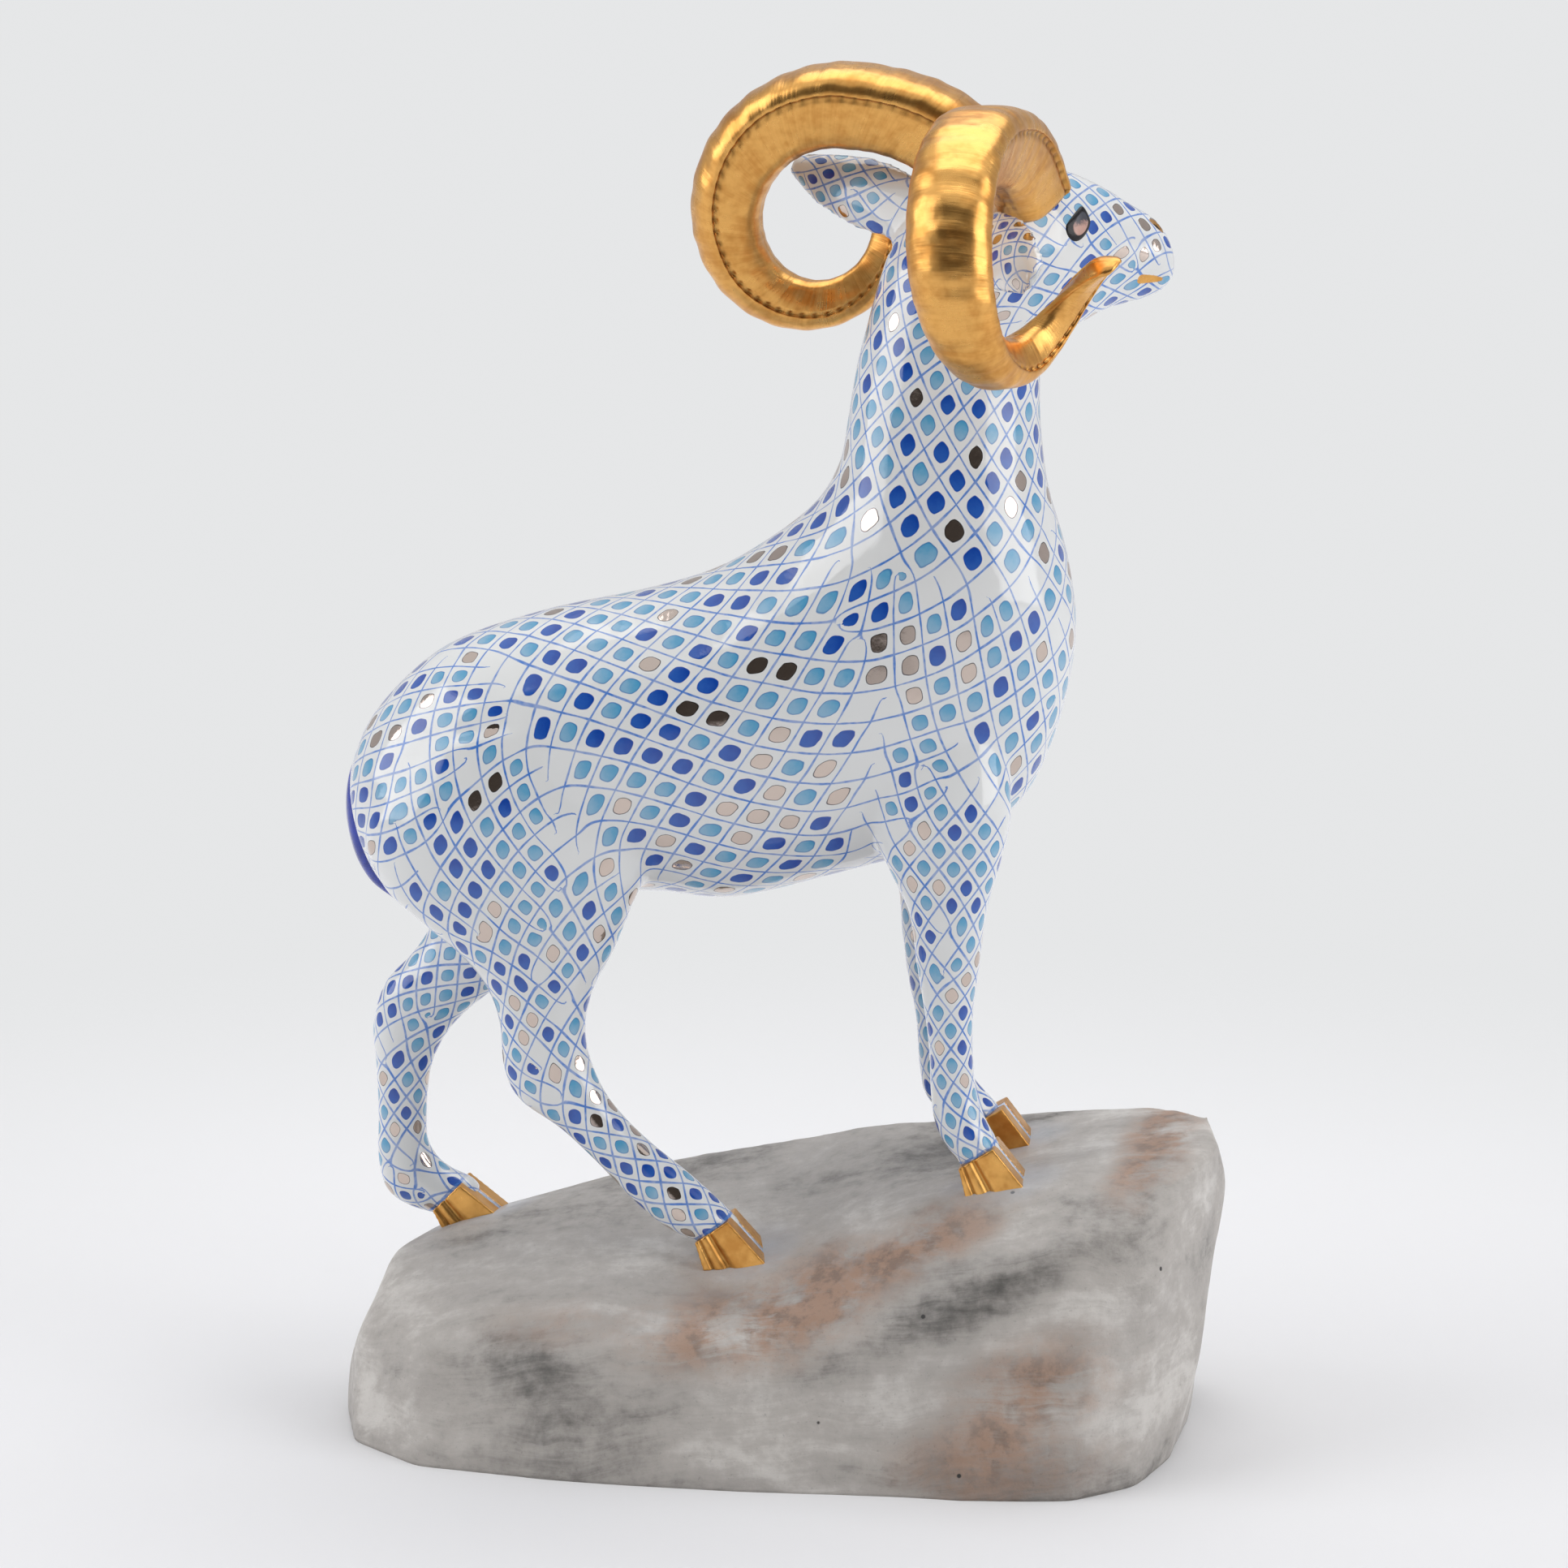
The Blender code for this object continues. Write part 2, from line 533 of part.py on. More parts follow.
def make_claw(sole, slope, side):
    """One claw: a wedge from the side, drawn in towards its toe in plan."""
    half = HOOF_LENGTH / 2
    outline = (
        (-half, -HOOF_SINK), (half, -HOOF_SINK), (half, HOOF_TOE_HEIGHT),
        (HOOF_FRONT_PLACE, HOOF_FRONT_HEIGHT), (-half - HOOF_HEEL_LEAN, HOOF_HEEL_HEIGHT),
    )
    inner = HOOF_GAP / 2
    outer = HOOF_WIDTH / 2
    bm = bmesh.new()
    corners = [bm.verts.new((x * MM, inner * MM, z * MM)) for x, z in outline]
    face = bm.faces.new(corners)
    grown = bmesh.ops.extrude_face_region(bm, geom=[face])["geom"]
    far = [item for item in grown if isinstance(item, bmesh.types.BMVert)]
    bmesh.ops.translate(bm, verts=far, vec=(0.0, (outer - inner) * MM, 0.0))
    for vert in far:
        lean = (vert.co.x / MM + half) / HOOF_LENGTH
        vert.co.y -= max(0.0, lean) * HOOF_TOE_SPLAY * HOOF_WIDTH / 2 * MM
    bmesh.ops.bevel(
        bm, geom=bm.edges[:], offset=HOOF_EDGE_ROUND * MM, segments=1, profile=0.5,
        affect="EDGES", material=-1)
    mirror = Matrix.Diagonal((1.0, side, 1.0, 1.0))
    place = Matrix.Translation(sole) @ Matrix.Rotation(-slope, 4, "Y") @ mirror
    bmesh.ops.transform(bm, matrix=place, verts=bm.verts)
    bmesh.ops.recalc_face_normals(bm, faces=bm.faces)
    return new_object("claw", bm)


def combine(base, others, operation="UNION"):
    """Join or cut one object with others, and remove those others."""
    for other in others:
        modifier = base.modifiers.new("Combine", "BOOLEAN")
        modifier.operation = operation
        modifier.object = other
        settle(base)
        bpy.data.objects.remove(other, do_unlink=True)
    return base


def centre_on_origin(mesh):
    """Put the origin at the middle of the figurine's box, on its foot."""
    xs = [vert.co.x for vert in mesh.vertices]
    ys = [vert.co.y for vert in mesh.vertices]
    zs = [vert.co.z for vert in mesh.vertices]
    middle = Vector(((min(xs) + max(xs)) / 2, (min(ys) + max(ys)) / 2, min(zs)))
    mesh.transform(Matrix.Translation(-middle))


def porcelain():
    material = bpy.data.materials.new("glazed_porcelain")
    material.use_nodes = True
    shader = material.node_tree.nodes["Principled BSDF"]
    shader.inputs["Base Color"].default_value = PORCELAIN_COLOUR
    shader.inputs["Roughness"].default_value = PORCELAIN_ROUGHNESS
    shader.inputs["Metallic"].default_value = 0.0
    return material


def main():
    clear_objects()
    rock = make_rock()
    claws = make_hooves(rock)
    ram = make_skin()
    combine(ram, claws + [make_tail(), make_horn(1), make_horn(-1), rock])
    ram.name = NODE
    ram.data.name = NODE
    centre_on_origin(ram.data)
    ram.data.materials.clear()
    ram.data.materials.append(porcelain())
    ram.data.shade_smooth()


main()
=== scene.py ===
"""Dresses the porcelain ram figurine: painted skin, gilded horns and hooves, tail, eyes and rock.

The ram faces +X, its left side is +Y and the rock stands on Z = 0. Shape tables are in
millimetres. Heights in the ram's tables are measured from the rock's highest point.
"""
import math

import bmesh
import bpy
import numpy
from bpy.props import FloatProperty, FloatVectorProperty, IntProperty, PointerProperty
from mathutils import Matrix, Vector, noise
from mathutils.bvhtree import BVHTree


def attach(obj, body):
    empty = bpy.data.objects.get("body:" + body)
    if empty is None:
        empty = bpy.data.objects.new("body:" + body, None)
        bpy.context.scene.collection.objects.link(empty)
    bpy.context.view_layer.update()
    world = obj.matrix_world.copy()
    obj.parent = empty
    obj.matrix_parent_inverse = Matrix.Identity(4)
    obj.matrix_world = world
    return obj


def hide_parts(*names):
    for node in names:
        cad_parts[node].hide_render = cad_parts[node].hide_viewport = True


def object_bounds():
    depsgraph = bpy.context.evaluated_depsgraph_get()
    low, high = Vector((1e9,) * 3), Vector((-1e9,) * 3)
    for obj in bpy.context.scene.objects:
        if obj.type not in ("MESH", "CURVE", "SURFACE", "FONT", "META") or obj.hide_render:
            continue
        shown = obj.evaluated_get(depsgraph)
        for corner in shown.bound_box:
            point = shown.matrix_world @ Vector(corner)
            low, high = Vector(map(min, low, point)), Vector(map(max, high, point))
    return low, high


bl_info = {
    "name": "Porcelain Ram Figurine",
    "version": (1, 0, 0),
    "blender": (4, 5, 0),
    "location": "3D View > Sidebar > Ram Figurine",
    "description": "Makes a painted porcelain ram with gilded horns on a painted rock",
    "category": "Object",
}

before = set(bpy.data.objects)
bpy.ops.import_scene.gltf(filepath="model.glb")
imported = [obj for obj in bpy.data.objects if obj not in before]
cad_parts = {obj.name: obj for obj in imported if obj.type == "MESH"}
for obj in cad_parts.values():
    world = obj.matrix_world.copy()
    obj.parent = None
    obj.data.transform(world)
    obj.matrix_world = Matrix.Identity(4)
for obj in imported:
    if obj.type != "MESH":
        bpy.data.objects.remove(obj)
CAD_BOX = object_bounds()

MM = 0.001
BODY = "root"
NODE = "ram_figurine"
# From the ram's own middle plane to the middle of the figurine's box, in mm
CENTRE_SHIFT = (0.154, 6.234, 0.0)

# Rock
ROCK_HEIGHT = 56.5
FOOT_RIM_WIDTH = 8.0
FOOT_RECESS = 2.5
VENT_RADIUS = 4.0
VENT_DEPTH = 12.0
ROCK_EDGE_RADIUS = 3.0
# x, y of the foot outline, anticlockwise from the left end
ROCK_FOOT = (
    (-81, -9), (-75, -29), (-61, -42), (-38, -46.5), (0, -47.5), (38, -47.2), (57, -44),
    (67, -35), (72, -18), (74, 8), (71, 32), (44, 45), (2, 48), (-42, 46), (-70, 31), (-80, 10),
)
# x, y and depth below the rock's highest point, round the widest part and over the top
ROCK_GIRTH = (
    (-81, -8, 48), (-79, -8, 42.5), (-76, -20, 38.5), (-62, -33, 36.5), (-36, -39, 34.5), (-5, -41, 35.5),
    (11, -42, 35), (33, -40, 28), (60, -38, 26), (70, -30, 22), (78, -12, 37), (80, -4, 24),
    (81.5, 5, 12), (79, 22, 18), (62, 38, 24), (10, 43, 30), (-42, 40, 36), (-68, 28, 38), (-78, 8, 40),
)
ROCK_TOP = (
    (-74, 2, 28.5), (-69, -15, 31.5), (-50, -27, 29), (-34, -30, 27.5), (-12, -29, 25), (10, -31, 23.5),
    (36, -33, 18), (54, -32, 14), (67, -26, 9), (76, -14, 3.5), (79.5, -2, 1.5), (77, 12, 0),
    (68, 24, 2), (44, 30, 5), (10, 30, 9), (-20, 28, 15), (-50, 24, 23), (-70, 14, 28),
    (34, -18, 8.2), (46, -18, 6.4), (-13, -19, 23.5), (38, 9, 9), (46, 9, 6.6), (-67, 9.5, 27),
    (-54, 9.5, 22.6),
)
# x, y and depth below the highest point of shallow hollows beaten into the hull, then radius and depth
ROCK_HOLLOWS = (
    (-3, -20, 19.5, 26, 6.2), (36, 10, 6.5, 15, 1.3), (24, -46, 42.5, 20, 2.0),
    (-46, -44, 44.5, 22, 1.6), (-10, -44, 30.5, 12, -0.9),
    (52, -42, 24.5, 13, 1.3), (76, 8, 28.5, 16, 1.4), (-78, 4, 44.5, 15, 1.0), (10, 46, 36.5, 24, 1.8),
    (-50, 42, 38.5, 20, 1.4),
)

# Ram's body: back x, z, belly x, z, and half width, from the rump to the crown
TRUNK = (
    (-78.3, 56.5, -76.0, 47.5, 5), (-79.2, 63.5, -71.2, 39.3, 13), (-74.3, 74.2, -60.7, 35.5, 19),
    (-62.0, 85.5, -50.0, 37.5, 22), (-44.0, 92.3, -38.0, 39.5, 22.5), (-25.0, 96.7, -24.0, 41.5, 23),
    (-12.0, 100.9, -9.0, 40.7, 23.5), (-1.0, 107.5, 9.0, 45.3, 23.5), (6.5, 114, 29.0, 51.5, 23),
    (10.3, 121, 42.0, 58.5, 22), (11.5, 127.5, 49.2, 72.5, 21), (12.4, 133.5, 52.5, 89.5, 19),
    (13.4, 139, 51.0, 103.5, 16.4), (14.8, 144.5, 47.3, 116.5, 15.0), (16.4, 150.5, 45.8, 128.5, 13.8),
    (18.4, 157, 45.6, 138.5, 13.0), (21.4, 163, 44.6, 147.5, 12.0), (27.0, 169.5, 43.0, 156.5, 9),
)

# Head: forward of the crown, top z, underside z and half width, in the head's own frame
HEAD_PLACE = (38.6, -4.3, 168)
HEAD_TURN = 37.0
HEAD_NOD = -4.0
HEAD_TILT = 4.4
HEAD = (
    (-15, -4, -18, 6), (-12, 1, -23, 9.5), (-5, 5.0, -26, 11), (3, 6.0, -27, 10.8), (9, 4.6, -26.2, 9.8),
    (15, 2.6, -24.6, 8.3), (21, -0.4, -22.6, 6.9), (27, -4.2, -21.9, 5.9), (31.5, -7.0, -21.2, 5.3),
    (33.9, -10.4, -19.8, 4.3), (34.8, -13.6, -18.2, 2.6),
)
EYE = (11.2, 7.3, -4.9)
EYE_RADIUS = 2.3
EYE_DOME = 0.55

# Ears, in the head's own frame
EAR_ROOT = (-8.5, 7.5, -4.6)
# The left ear is on side 1 and the right ear on side -1
EAR_TIPS = {1: (-20.2, 36.8, 2.7), -1: (-16.8, -37.8, -6.6)}
EAR_WIDTH = 13.6
EAR_THICKNESS = 2.8
EAR_HOLLOW = 1.3
EAR_CURL = 1.8
EAR_ROOT_SHARE = 0.12
EAR_TIP_SHARE = 0.34
EAR_BLUNTNESS = 0.75
EAR_TAPER = 0.5
EAR_FACING = (0.75, 0.0, -0.45)
# How far past its edge the near ear's inside, grey with painted shade, shows, and how deep the inside sinks
EAR_REVEAL = 0.3
EAR_SINK = 1.3
# Share of the ear's half width that its hollow takes up
EAR_INSIDE = 0.80

# Lines down the head's left side, in its own frame, which the right side mirrors, and their depths
NOSTRIL = ((28.4, 4.5, -5.4), (30.6, 3.4, -6.9), (31.6, 2.7, -8.8))
NOSTRIL_DEPTH = 0.7
MOUTH = ((26.0, 5.2, -16.9), (30.5, 4.2, -17.4), (34.6, 1.2, -18.0), (35.0, 0.0, -18.1))
MOUTH_DEPTH = 0.45

# Horns: a spiral of shrinking radius about a centre beside the ear, in the head's own frame
HORN_CENTRE = (-19.6, 27.6, -10.3)
HORN_RADIUS = 32.4
HORN_SHRINK = 0.231
HORN_PHASE = 22.9
HORN_YAW = -43.0
HORN_ROLL = 1.5
HORN_SPREAD = 0.91
HORN_ENTRY = -2.68
HORN_RINGS = 330
RIGHT_HORN_SIZE = 0.94
HORN_END_ROUND = 2.0
# Share of its section that the smooth horn keeps, which leaves room for its ribs and keels
HORN_FIT = 0.96
# angle round the spiral from root to tip, thickness, width and shift towards the spiral's middle
HORN_SECTIONS = (
    (21, 16.0, 15.0, 0.5), (45, 16.6, 16.2, 0.3), (70, 15.9, 16.6, 0.6), (83, 15.6, 16.5, 0.1),
    (100, 15.2, 16.5, -0.2), (125, 14.8, 16.5, -0.2), (164, 13.4, 16.0, 0.0), (211, 11.4, 13.8, 0.0),
    (260, 9.3, 10.6, 0.0), (301, 7.9, 8.3, 0.0), (350, 6.7, 6.9, 0.0), (389, 5.8, 6.0, 0.0),
)
KEEL_PLACE = 0.05
# angle round the spiral and how far out the keel's crest stands there, from 0 at the middle to 1
KEEL_ROWS = (
    (21, 0.42), (80, 0.42), (110, 0.36), (145, 0.16), (180, 0.05), (225, 0.12), (270, 0.34), (389, 0.30),
)
# Halves of the horn's section on its outer face and on its inner one: out, and to the side
HORN_OUTER = (
    (1.0, 0.0), (0.96, 0.27), (0.85, 0.52), (0.66, 0.74), (0.42, 0.90), (0.2, 0.985), (KEEL_PLACE, 1.01),
)
HORN_INNER = (
    (KEEL_PLACE, 1.01), (-0.03, 0.93), (-0.2, 0.885), (-0.5, 0.78), (-0.88, 0.54), (-1.0, 0.2), (-1.0, 0.0),
)

# Legs: front x, z, rear x, z and half width, from the trunk down into the hoof
FORE_SPREAD = 13.0
HIND_SPREAD = 14.0
NEAR_FORELEG = (
    (40, 77.5, 12, 73.5, 7), (42.5, 61.5, 17, 57.5, 8.5), (41.0, 52, 21.0, 48.5, 7.6),
    (38.3, 42, 24.3, 41.5, 6.3), (37.2, 32.5, 25.6, 32.5, 5.5), (36.1, 24, 27.1, 23.5, 4.8),
    (36.0, 17, 28.0, 16.5, 4.5), (36.6, 9.5, 28.3, 8.5, 4.1), (38.1, 4.5, 29.4, 2, 4.5),
    (40.0, 0.9, 32.6, -3.1, 4.7), (41.5, -2, 35.0, -6, 4.2),
)
FAR_FORELEG = (
    (40, 77.5, 12, 73.5, 7), (40, 61.5, 13, 57.5, 8.5), (36.0, 52.5, 17.0, 48.5, 7.6),
    (32.6, 42, 19.2, 41.5, 6.3), (31.4, 32.5, 20.0, 32.5, 5.5), (30.3, 24, 21.2, 23.5, 4.8),
    (30.6, 17, 22.6, 16.5, 4.5), (31.6, 9.5, 23.2, 8.5, 4.1), (33.4, 5, 24.4, 1.5, 4.5),
    (36.4, 1.5, 29.0, -3.1, 4.7), (39.0, -1.1, 33.0, -5.7, 4.2),
)
NEAR_HIND_LEG = (
    (-34, 75.5, -66, 69.5, 8), (-25, 61.5, -74, 55.5, 11), (-22.5, 49.5, -71.5, 44.5, 10.8),
    (-25.4, 41.5, -65.0, 38, 9.6), (-28.7, 33.3, -57.0, 31.5, 8.0), (-32.7, 25.5, -52.2, 25.5, 6.6),
    (-34.2, 18.5, -50.0, 19, 5.6), (-33.2, 12.5, -49.4, 11, 5.2), (-30.6, 6.5, -46.6, 4.9, 4.9),
    (-26.3, 1.1, -39.2, -0.1, 4.6), (-21.4, -3.3, -32.0, -6.7, 4.4), (-16.0, -7.5, -25.2, -13.7, 4.5),
    (-11.2, -11.6, -19.0, -18.5, 4.8), (-7.4, -15.3, -14.0, -20.3, 4.7), (-5.6, -17.5, -11.8, -21.9, 4.2),
)
FAR_HIND_LEG = (
    (-34, 75.5, -66, 69.5, 8), (-26, 61.5, -76, 53.5, 11), (-29.0, 47.5, -76, 42.5, 10.4),
    (-38.0, 35.5, -72.0, 36, 9.0), (-47.5, 25.5, -68.6, 31, 7.4), (-56.0, 18.7, -72.0, 25, 6.2),
    (-62.6, 13.1, -77.2, 19.3, 5.5), (-66.6, 7.9, -79.7, 11.5, 5.0), (-69.0, 1.5, -79.3, 3.5, 4.5),
    (-69.7, -7.5, -79.0, -6.5, 4.2), (-69.4, -11.7, -79.2, -14.1, 4.5), (-67.2, -15.1, -77.6, -20.9, 4.8),
    (-64.4, -16.9, -73.0, -24.1, 4.7), (-61.4, -18.1, -68.8, -25.1, 4.7), (-59.4, -19.9, -66.4, -25.9, 4.2),
)

# Hooves: the side outline of a claw over its sole, and where each sole's middle stands
HOOF_LENGTH = 11.0
HOOF_HEEL_HEIGHT = 3.6
HOOF_HEEL_LEAN = 1.1
HOOF_FRONT_HEIGHT = 7.2
HOOF_FRONT_PLACE = -0.3
HOOF_TOE_HEIGHT = -0.5
HOOF_WALL = 5.2
HOOF_GRAIN = 0.26
HOOF_GAP = 1.5
HOOF_SINK = 1.7
# Share of its half width that a hoof loses at the toe
HOOF_DRAW_IN = 0.06
# Grooves down a claw: place from heel to toe, half width and depth
HEEL_GROOVE = (0.11, 0.03, 0.45)
WALL_GROOVE = (0.36, 0.07, 0.6)
# How far the glaze between two claws reaches into them, and how far inside their outline it stops
WEB_REACH = 0.1
WEB_TRIM = 0.05
# The painted line over each hoof, and the glaze that ran onto the rock round it
CORONET_RISE = 0.3
CORONET_HALF_WIDTH = 0.65
HALO_LENGTH = 8.0
HALO_WIDTH = 6.5
HALO_LEAST_HEIGHT = 18.0
# x, y and how far each sole leans with the rock under it, from 0 for level to 1
HOOF_PLACES = (
    (40.7, -FORE_SPREAD, 0.2), (39.6, FORE_SPREAD, 0.05),
    (-6.7, -HIND_SPREAD, 0.6), (-60.5, HIND_SPREAD, 0.85),
)

# Tail: a leaf lying down the rump, outer x, z, inner x, z and half width
TAIL = (
    (-79.2, 64.4, -76.6, 64.0, 1.2), (-80.4, 60.5, -76.1, 60.3, 3.4), (-80.8, 55.6, -76.0, 56.2, 4.6),
    (-80.2, 50.4, -75.2, 52.2, 4.9), (-78.8, 45.6, -73.9, 48.4, 4.4), (-76.2, 41.3, -72.2, 44.7, 3.2),
    (-72.4, 38.3, -70.3, 41.0, 1.2),
)

# Painted trellis: how far from a centre line its direction holds, in radii, the width of a cell over
# the set width where the limb is thinnest, and what each millimetre of radius adds
BONE_REACH = 0.42
LEAST_CELL = 0.68
CELL_GROWTH = 0.085
FLOW_PASSES = 1000
SIZE_PASSES = 200
SETTLING_PASSES = 160
# Rounds of solving for the phase, with the most steps in one and the share of the error it stops at
SOLVING_ROUNDS = 4
MOST_STEPS = 260
SOLVED = 1e-8
# A cell where the lines agree less than this, because one of them ends in it, stays bare
CALM_ENOUGH = 0.42
BARE_CELL = 2.0
# A spot's outline: 1 for a diamond with its corners in the trellis, 2 for an oval
SPOT_ROUNDNESS = 1.6
# Shares of the cells up to which a spot is turquoise and royal blue; the rest are platinum
TURQUOISE_SHARE = 0.45
ROYAL_SHARE = 0.8

# Rounding past the last section of each tube, and where its closing rings stand in degrees
TRUNK_END_ROUND = 2.0
HEAD_END_ROUND = 1.2
LEG_END_ROUND = 1.0
LEAF_END_ROUND = 0.8
END_ROUND_ANGLES = (20, 35, 50, 65, 80)
SECTION_SIDES = 40
SPAN_STEPS = 6
LEAF_RINGS = 30

# Camera and lamps
CAMERA_PLACE = (123.0, -874.9, 289.7)
CAMERA_TARGET = (0.0, 0.0, 118.0)
CAMERA_LENS = 114.39
# Name, place and size of each lamp, and the sweep's floor radius, bend radius and height, all in metres
LAMPS = (("key", (-1.45, -0.5, 0.85), 1.3), ("fill", (1.5, -0.45, 0.65), 1.2), ("top", (0.1, 0.35, 1.5), 1.5))
LAMP_TARGET = (0.0, 0.0, 0.12)
SWEEP_FLOOR = 1.5
SWEEP_BEND = 1.2
SWEEP_TOP = 2.6


def linear(red, green, blue):
    """A colour read off a colour chart in 0 to 255 steps, as Blender's linear values."""
    return tuple((channel / 255) ** 2.2 for channel in (red, green, blue))


# Paints that have no setting of their own
# Grey of the ear hollows: painted shade
EAR_SHADE = linear(196, 202, 206)
EAR_PALE_SHADE = linear(222, 226, 228)
# Painted shade in the horns' notches and the hooves' grooves
GROOVE_SHADE_BROWN = linear(96, 62, 30)
WEB_PALE = linear(206, 220, 240)
WEB_BLUE = linear(164, 192, 232)
HALO_BLUE = linear(186, 196, 208)
EYE_OUTLINE = (0.008, 0.008, 0.01)


def length(name, description, default_mm, low=0.0):
    return FloatProperty(
        name=name, description=description, default=default_mm * MM, min=low * MM,
        subtype="DISTANCE", unit="LENGTH")


def share(name, description, default):
    return FloatProperty(
        name=name, description=description, default=default, min=0.0, max=1.0, subtype="FACTOR")


def power(name, description, default):
    return FloatProperty(name=name, description=description, default=default, min=0.0)


def paint(name, description, red, green, blue):
    return FloatVectorProperty(
        name=name, description=description, default=linear(red, green, blue), size=3, min=0.0, max=1.0,
        subtype="COLOR")


class RamSkinSettings(bpy.types.PropertyGroup):
    grain: length("Mesh grain", "Size of the skin's faces", 0.78, 0.4)
    cell_width: length("Trellis width", "Width of a trellis cell on the trunk", 6.3, 3.0)
    cell_ratio: FloatProperty(
        name="Trellis ratio", description="Length of a cell over its width", default=1.36, min=0.8, max=2.0)
    line_width: length("Line width", "Width of the painted trellis lines", 0.35, 0.05)
    spot_size: share("Spot size", "Size of a cell's spot over its width", 0.455)
    seed: IntProperty(name="Spot order", description="Which spots get which colour", default=7, min=0)
    glaze: paint("Glaze", "Colour of the white glaze", 231, 233, 233)
    line_blue: paint("Line blue", "Colour of the trellis lines", 66, 122, 206)
    royal_blue: paint("Royal blue", "Colour of the dark spots", 22, 70, 162)
    turquoise: paint("Turquoise", "Colour of the light spots", 82, 158, 200)
    platinum: paint("Platinum", "Colour of the metal spots", 205, 190, 180)


class GildingSettings(bpy.types.PropertyGroup):
    gold: paint("Gold", "Colour of the burnished gold", 232, 175, 99)
    worn_gold: paint("Worn gold", "Colour where the gold is brushed thin", 206, 145, 76)
    roughness: share("Roughness", "Mean roughness of the burnish", 0.23)
    rib_height: length("Rib height", "Height of the ribs across the horns", 0.16)
    rib_pitch: length("Rib pitch", "Distance from rib to rib", 4.4, 1.0)
    notch_depth: length("Notch depth", "Depth of the notched line beside the keel", 0.50)
    notch_pitch: length("Notch pitch", "Distance from notch to notch", 2.1, 0.5)


class TailAndEyeSettings(bpy.types.PropertyGroup):
    cobalt: paint("Cobalt", "Colour of the tail's glaze", 34, 62, 178)
    eye_dark: paint("Eye dark", "Colour of the upper eye", 74, 76, 84)
    eye_warm: paint("Eye warm", "Colour of the lower eye", 196, 158, 146)


class RockSettings(bpy.types.PropertyGroup):
    grain: length("Mesh grain", "Size of the rock's faces", 1.15, 0.6)
    waves: length("Waves", "Height of the uneven surface", 0.5)
    pale: paint("Pale grey", "Colour of the light clouds", 204, 200, 195)
    middle: paint("Middle grey", "Colour of the ground", 176, 171, 166)
    dark: paint("Dark grey", "Colour of the dark clouds", 84, 82, 79)
    brown: paint("Brown", "Colour of the brown clouds", 164, 130, 108)


class StageSettings(bpy.types.PropertyGroup):
    floor: paint("Floor", "Colour of the floor and sweep", 229, 229, 231)
    backdrop: paint("Backdrop", "Colour seen behind the figurine", 229, 230, 231)
    painted_shade_side: paint("Dim side", "Colour of the studio behind the camera", 84, 80, 76)
    key_power: power("Key lamp", "Power of the upper left lamp", 11.0)
    fill_power: power("Fill lamp", "Power of the right lamp", 10.0)
    top_power: power("Top lamp", "Power of the lamp above", 10.5)
    sky: power("Sky light", "Strength of the even light", 0.71)


# Shapes


def head_matrix():
    """Turn the head to the ram's left, nod it and tilt it about the crown."""
    turn = Matrix.Rotation(math.radians(HEAD_TURN), 4, "Z")
    nod = Matrix.Rotation(math.radians(HEAD_NOD), 4, "Y")
    tilt = Matrix.Rotation(math.radians(HEAD_TILT), 4, "X")
    place = Vector(HEAD_PLACE) + Vector((0.0, 0.0, ROCK_HEIGHT))
    return Matrix.Translation(place * MM) @ turn @ nod @ tilt


def head_point(x, y, z):
    return head_matrix() @ (Vector((x, y, z)) * MM)


def smooth_rows(rows, steps):
    """Pass a Catmull-Rom curve through a table's rows, with steps rows to each span."""
    last = len(rows) - 1
    result = []
    for index in range(last):
        before = rows[max(index - 1, 0)]
        start = rows[index]
        end = rows[index + 1]
        after = rows[min(index + 2, last)]
        for step in range(steps):
            t = step / steps
            result.append([catmull_rom(values, t) for values in zip(before, start, end, after)])
    result.append(list(rows[last]))
    return result


def catmull_rom(values, t):
    a, b, c, d = values
    bend = (3 * b - a - 3 * c + d) * t + 2 * a - 5 * b + 4 * c - d
    return b + 0.5 * t * (c - a + t * bend)


def disc_matrix(centre, chord, across):
    """Place a unit circle: its X spans the chord and its Y spans the width."""
    along = chord.cross(across)
    columns = (chord, across, along.normalized() * chord.length)
    matrix = Matrix.Identity(4)
    for index, column in enumerate(columns):
        for row in range(3):
            matrix[row][index] = column[row]
    matrix.translation = centre
    return matrix


def loft(bm, discs, sides=SECTION_SIDES, outline=None):
    """Grow a closed tube through placed discs, and number its corners round each ring and along the rings."""
    around = bm.verts.layers.float.get("around") or bm.verts.layers.float.new("around")
    along = bm.verts.layers.float.get("along") or bm.verts.layers.float.new("along")
    if outline is None:
        made = bmesh.ops.create_circle(bm, segments=sides, radius=1.0, cap_ends=True)
    else:
        made = {"verts": [bm.verts.new((x, y, 0.0)) for x, y in outline]}
        bm.faces.new(made["verts"])
    ring = made["verts"]
    for index, vert in enumerate(ring):
        vert[around] = index
    bmesh.ops.transform(bm, matrix=discs[0], verts=ring)
    edges = rim_edges(ring)
    for number, (before, after) in enumerate(zip(discs, discs[1:]), 1):
        grown = bmesh.ops.extrude_edge_only(bm, edges=edges)["geom"]
        ring = [item for item in grown if isinstance(item, bmesh.types.BMVert)]
        edges = [item for item in grown if isinstance(item, bmesh.types.BMEdge)]
        bmesh.ops.transform(bm, matrix=after @ before.inverted(), verts=ring)
        for vert in ring:
            vert[along] = number
    bmesh.ops.contextual_create(bm, geom=edges)
    bmesh.ops.recalc_face_normals(bm, faces=bm.faces)


def rim_edges(ring):
    inside = set(ring)
    return list({edge for vert in ring for edge in vert.link_edges if set(edge.verts) <= inside})


def rounded_ends(discs, reach):
    """Close both ends of a tube with a quarter round of shrinking discs."""
    first = end_cap(discs[0], discs[1], reach)
    last = end_cap(discs[-1], discs[-2], reach)
    return list(reversed(first)) + discs + last


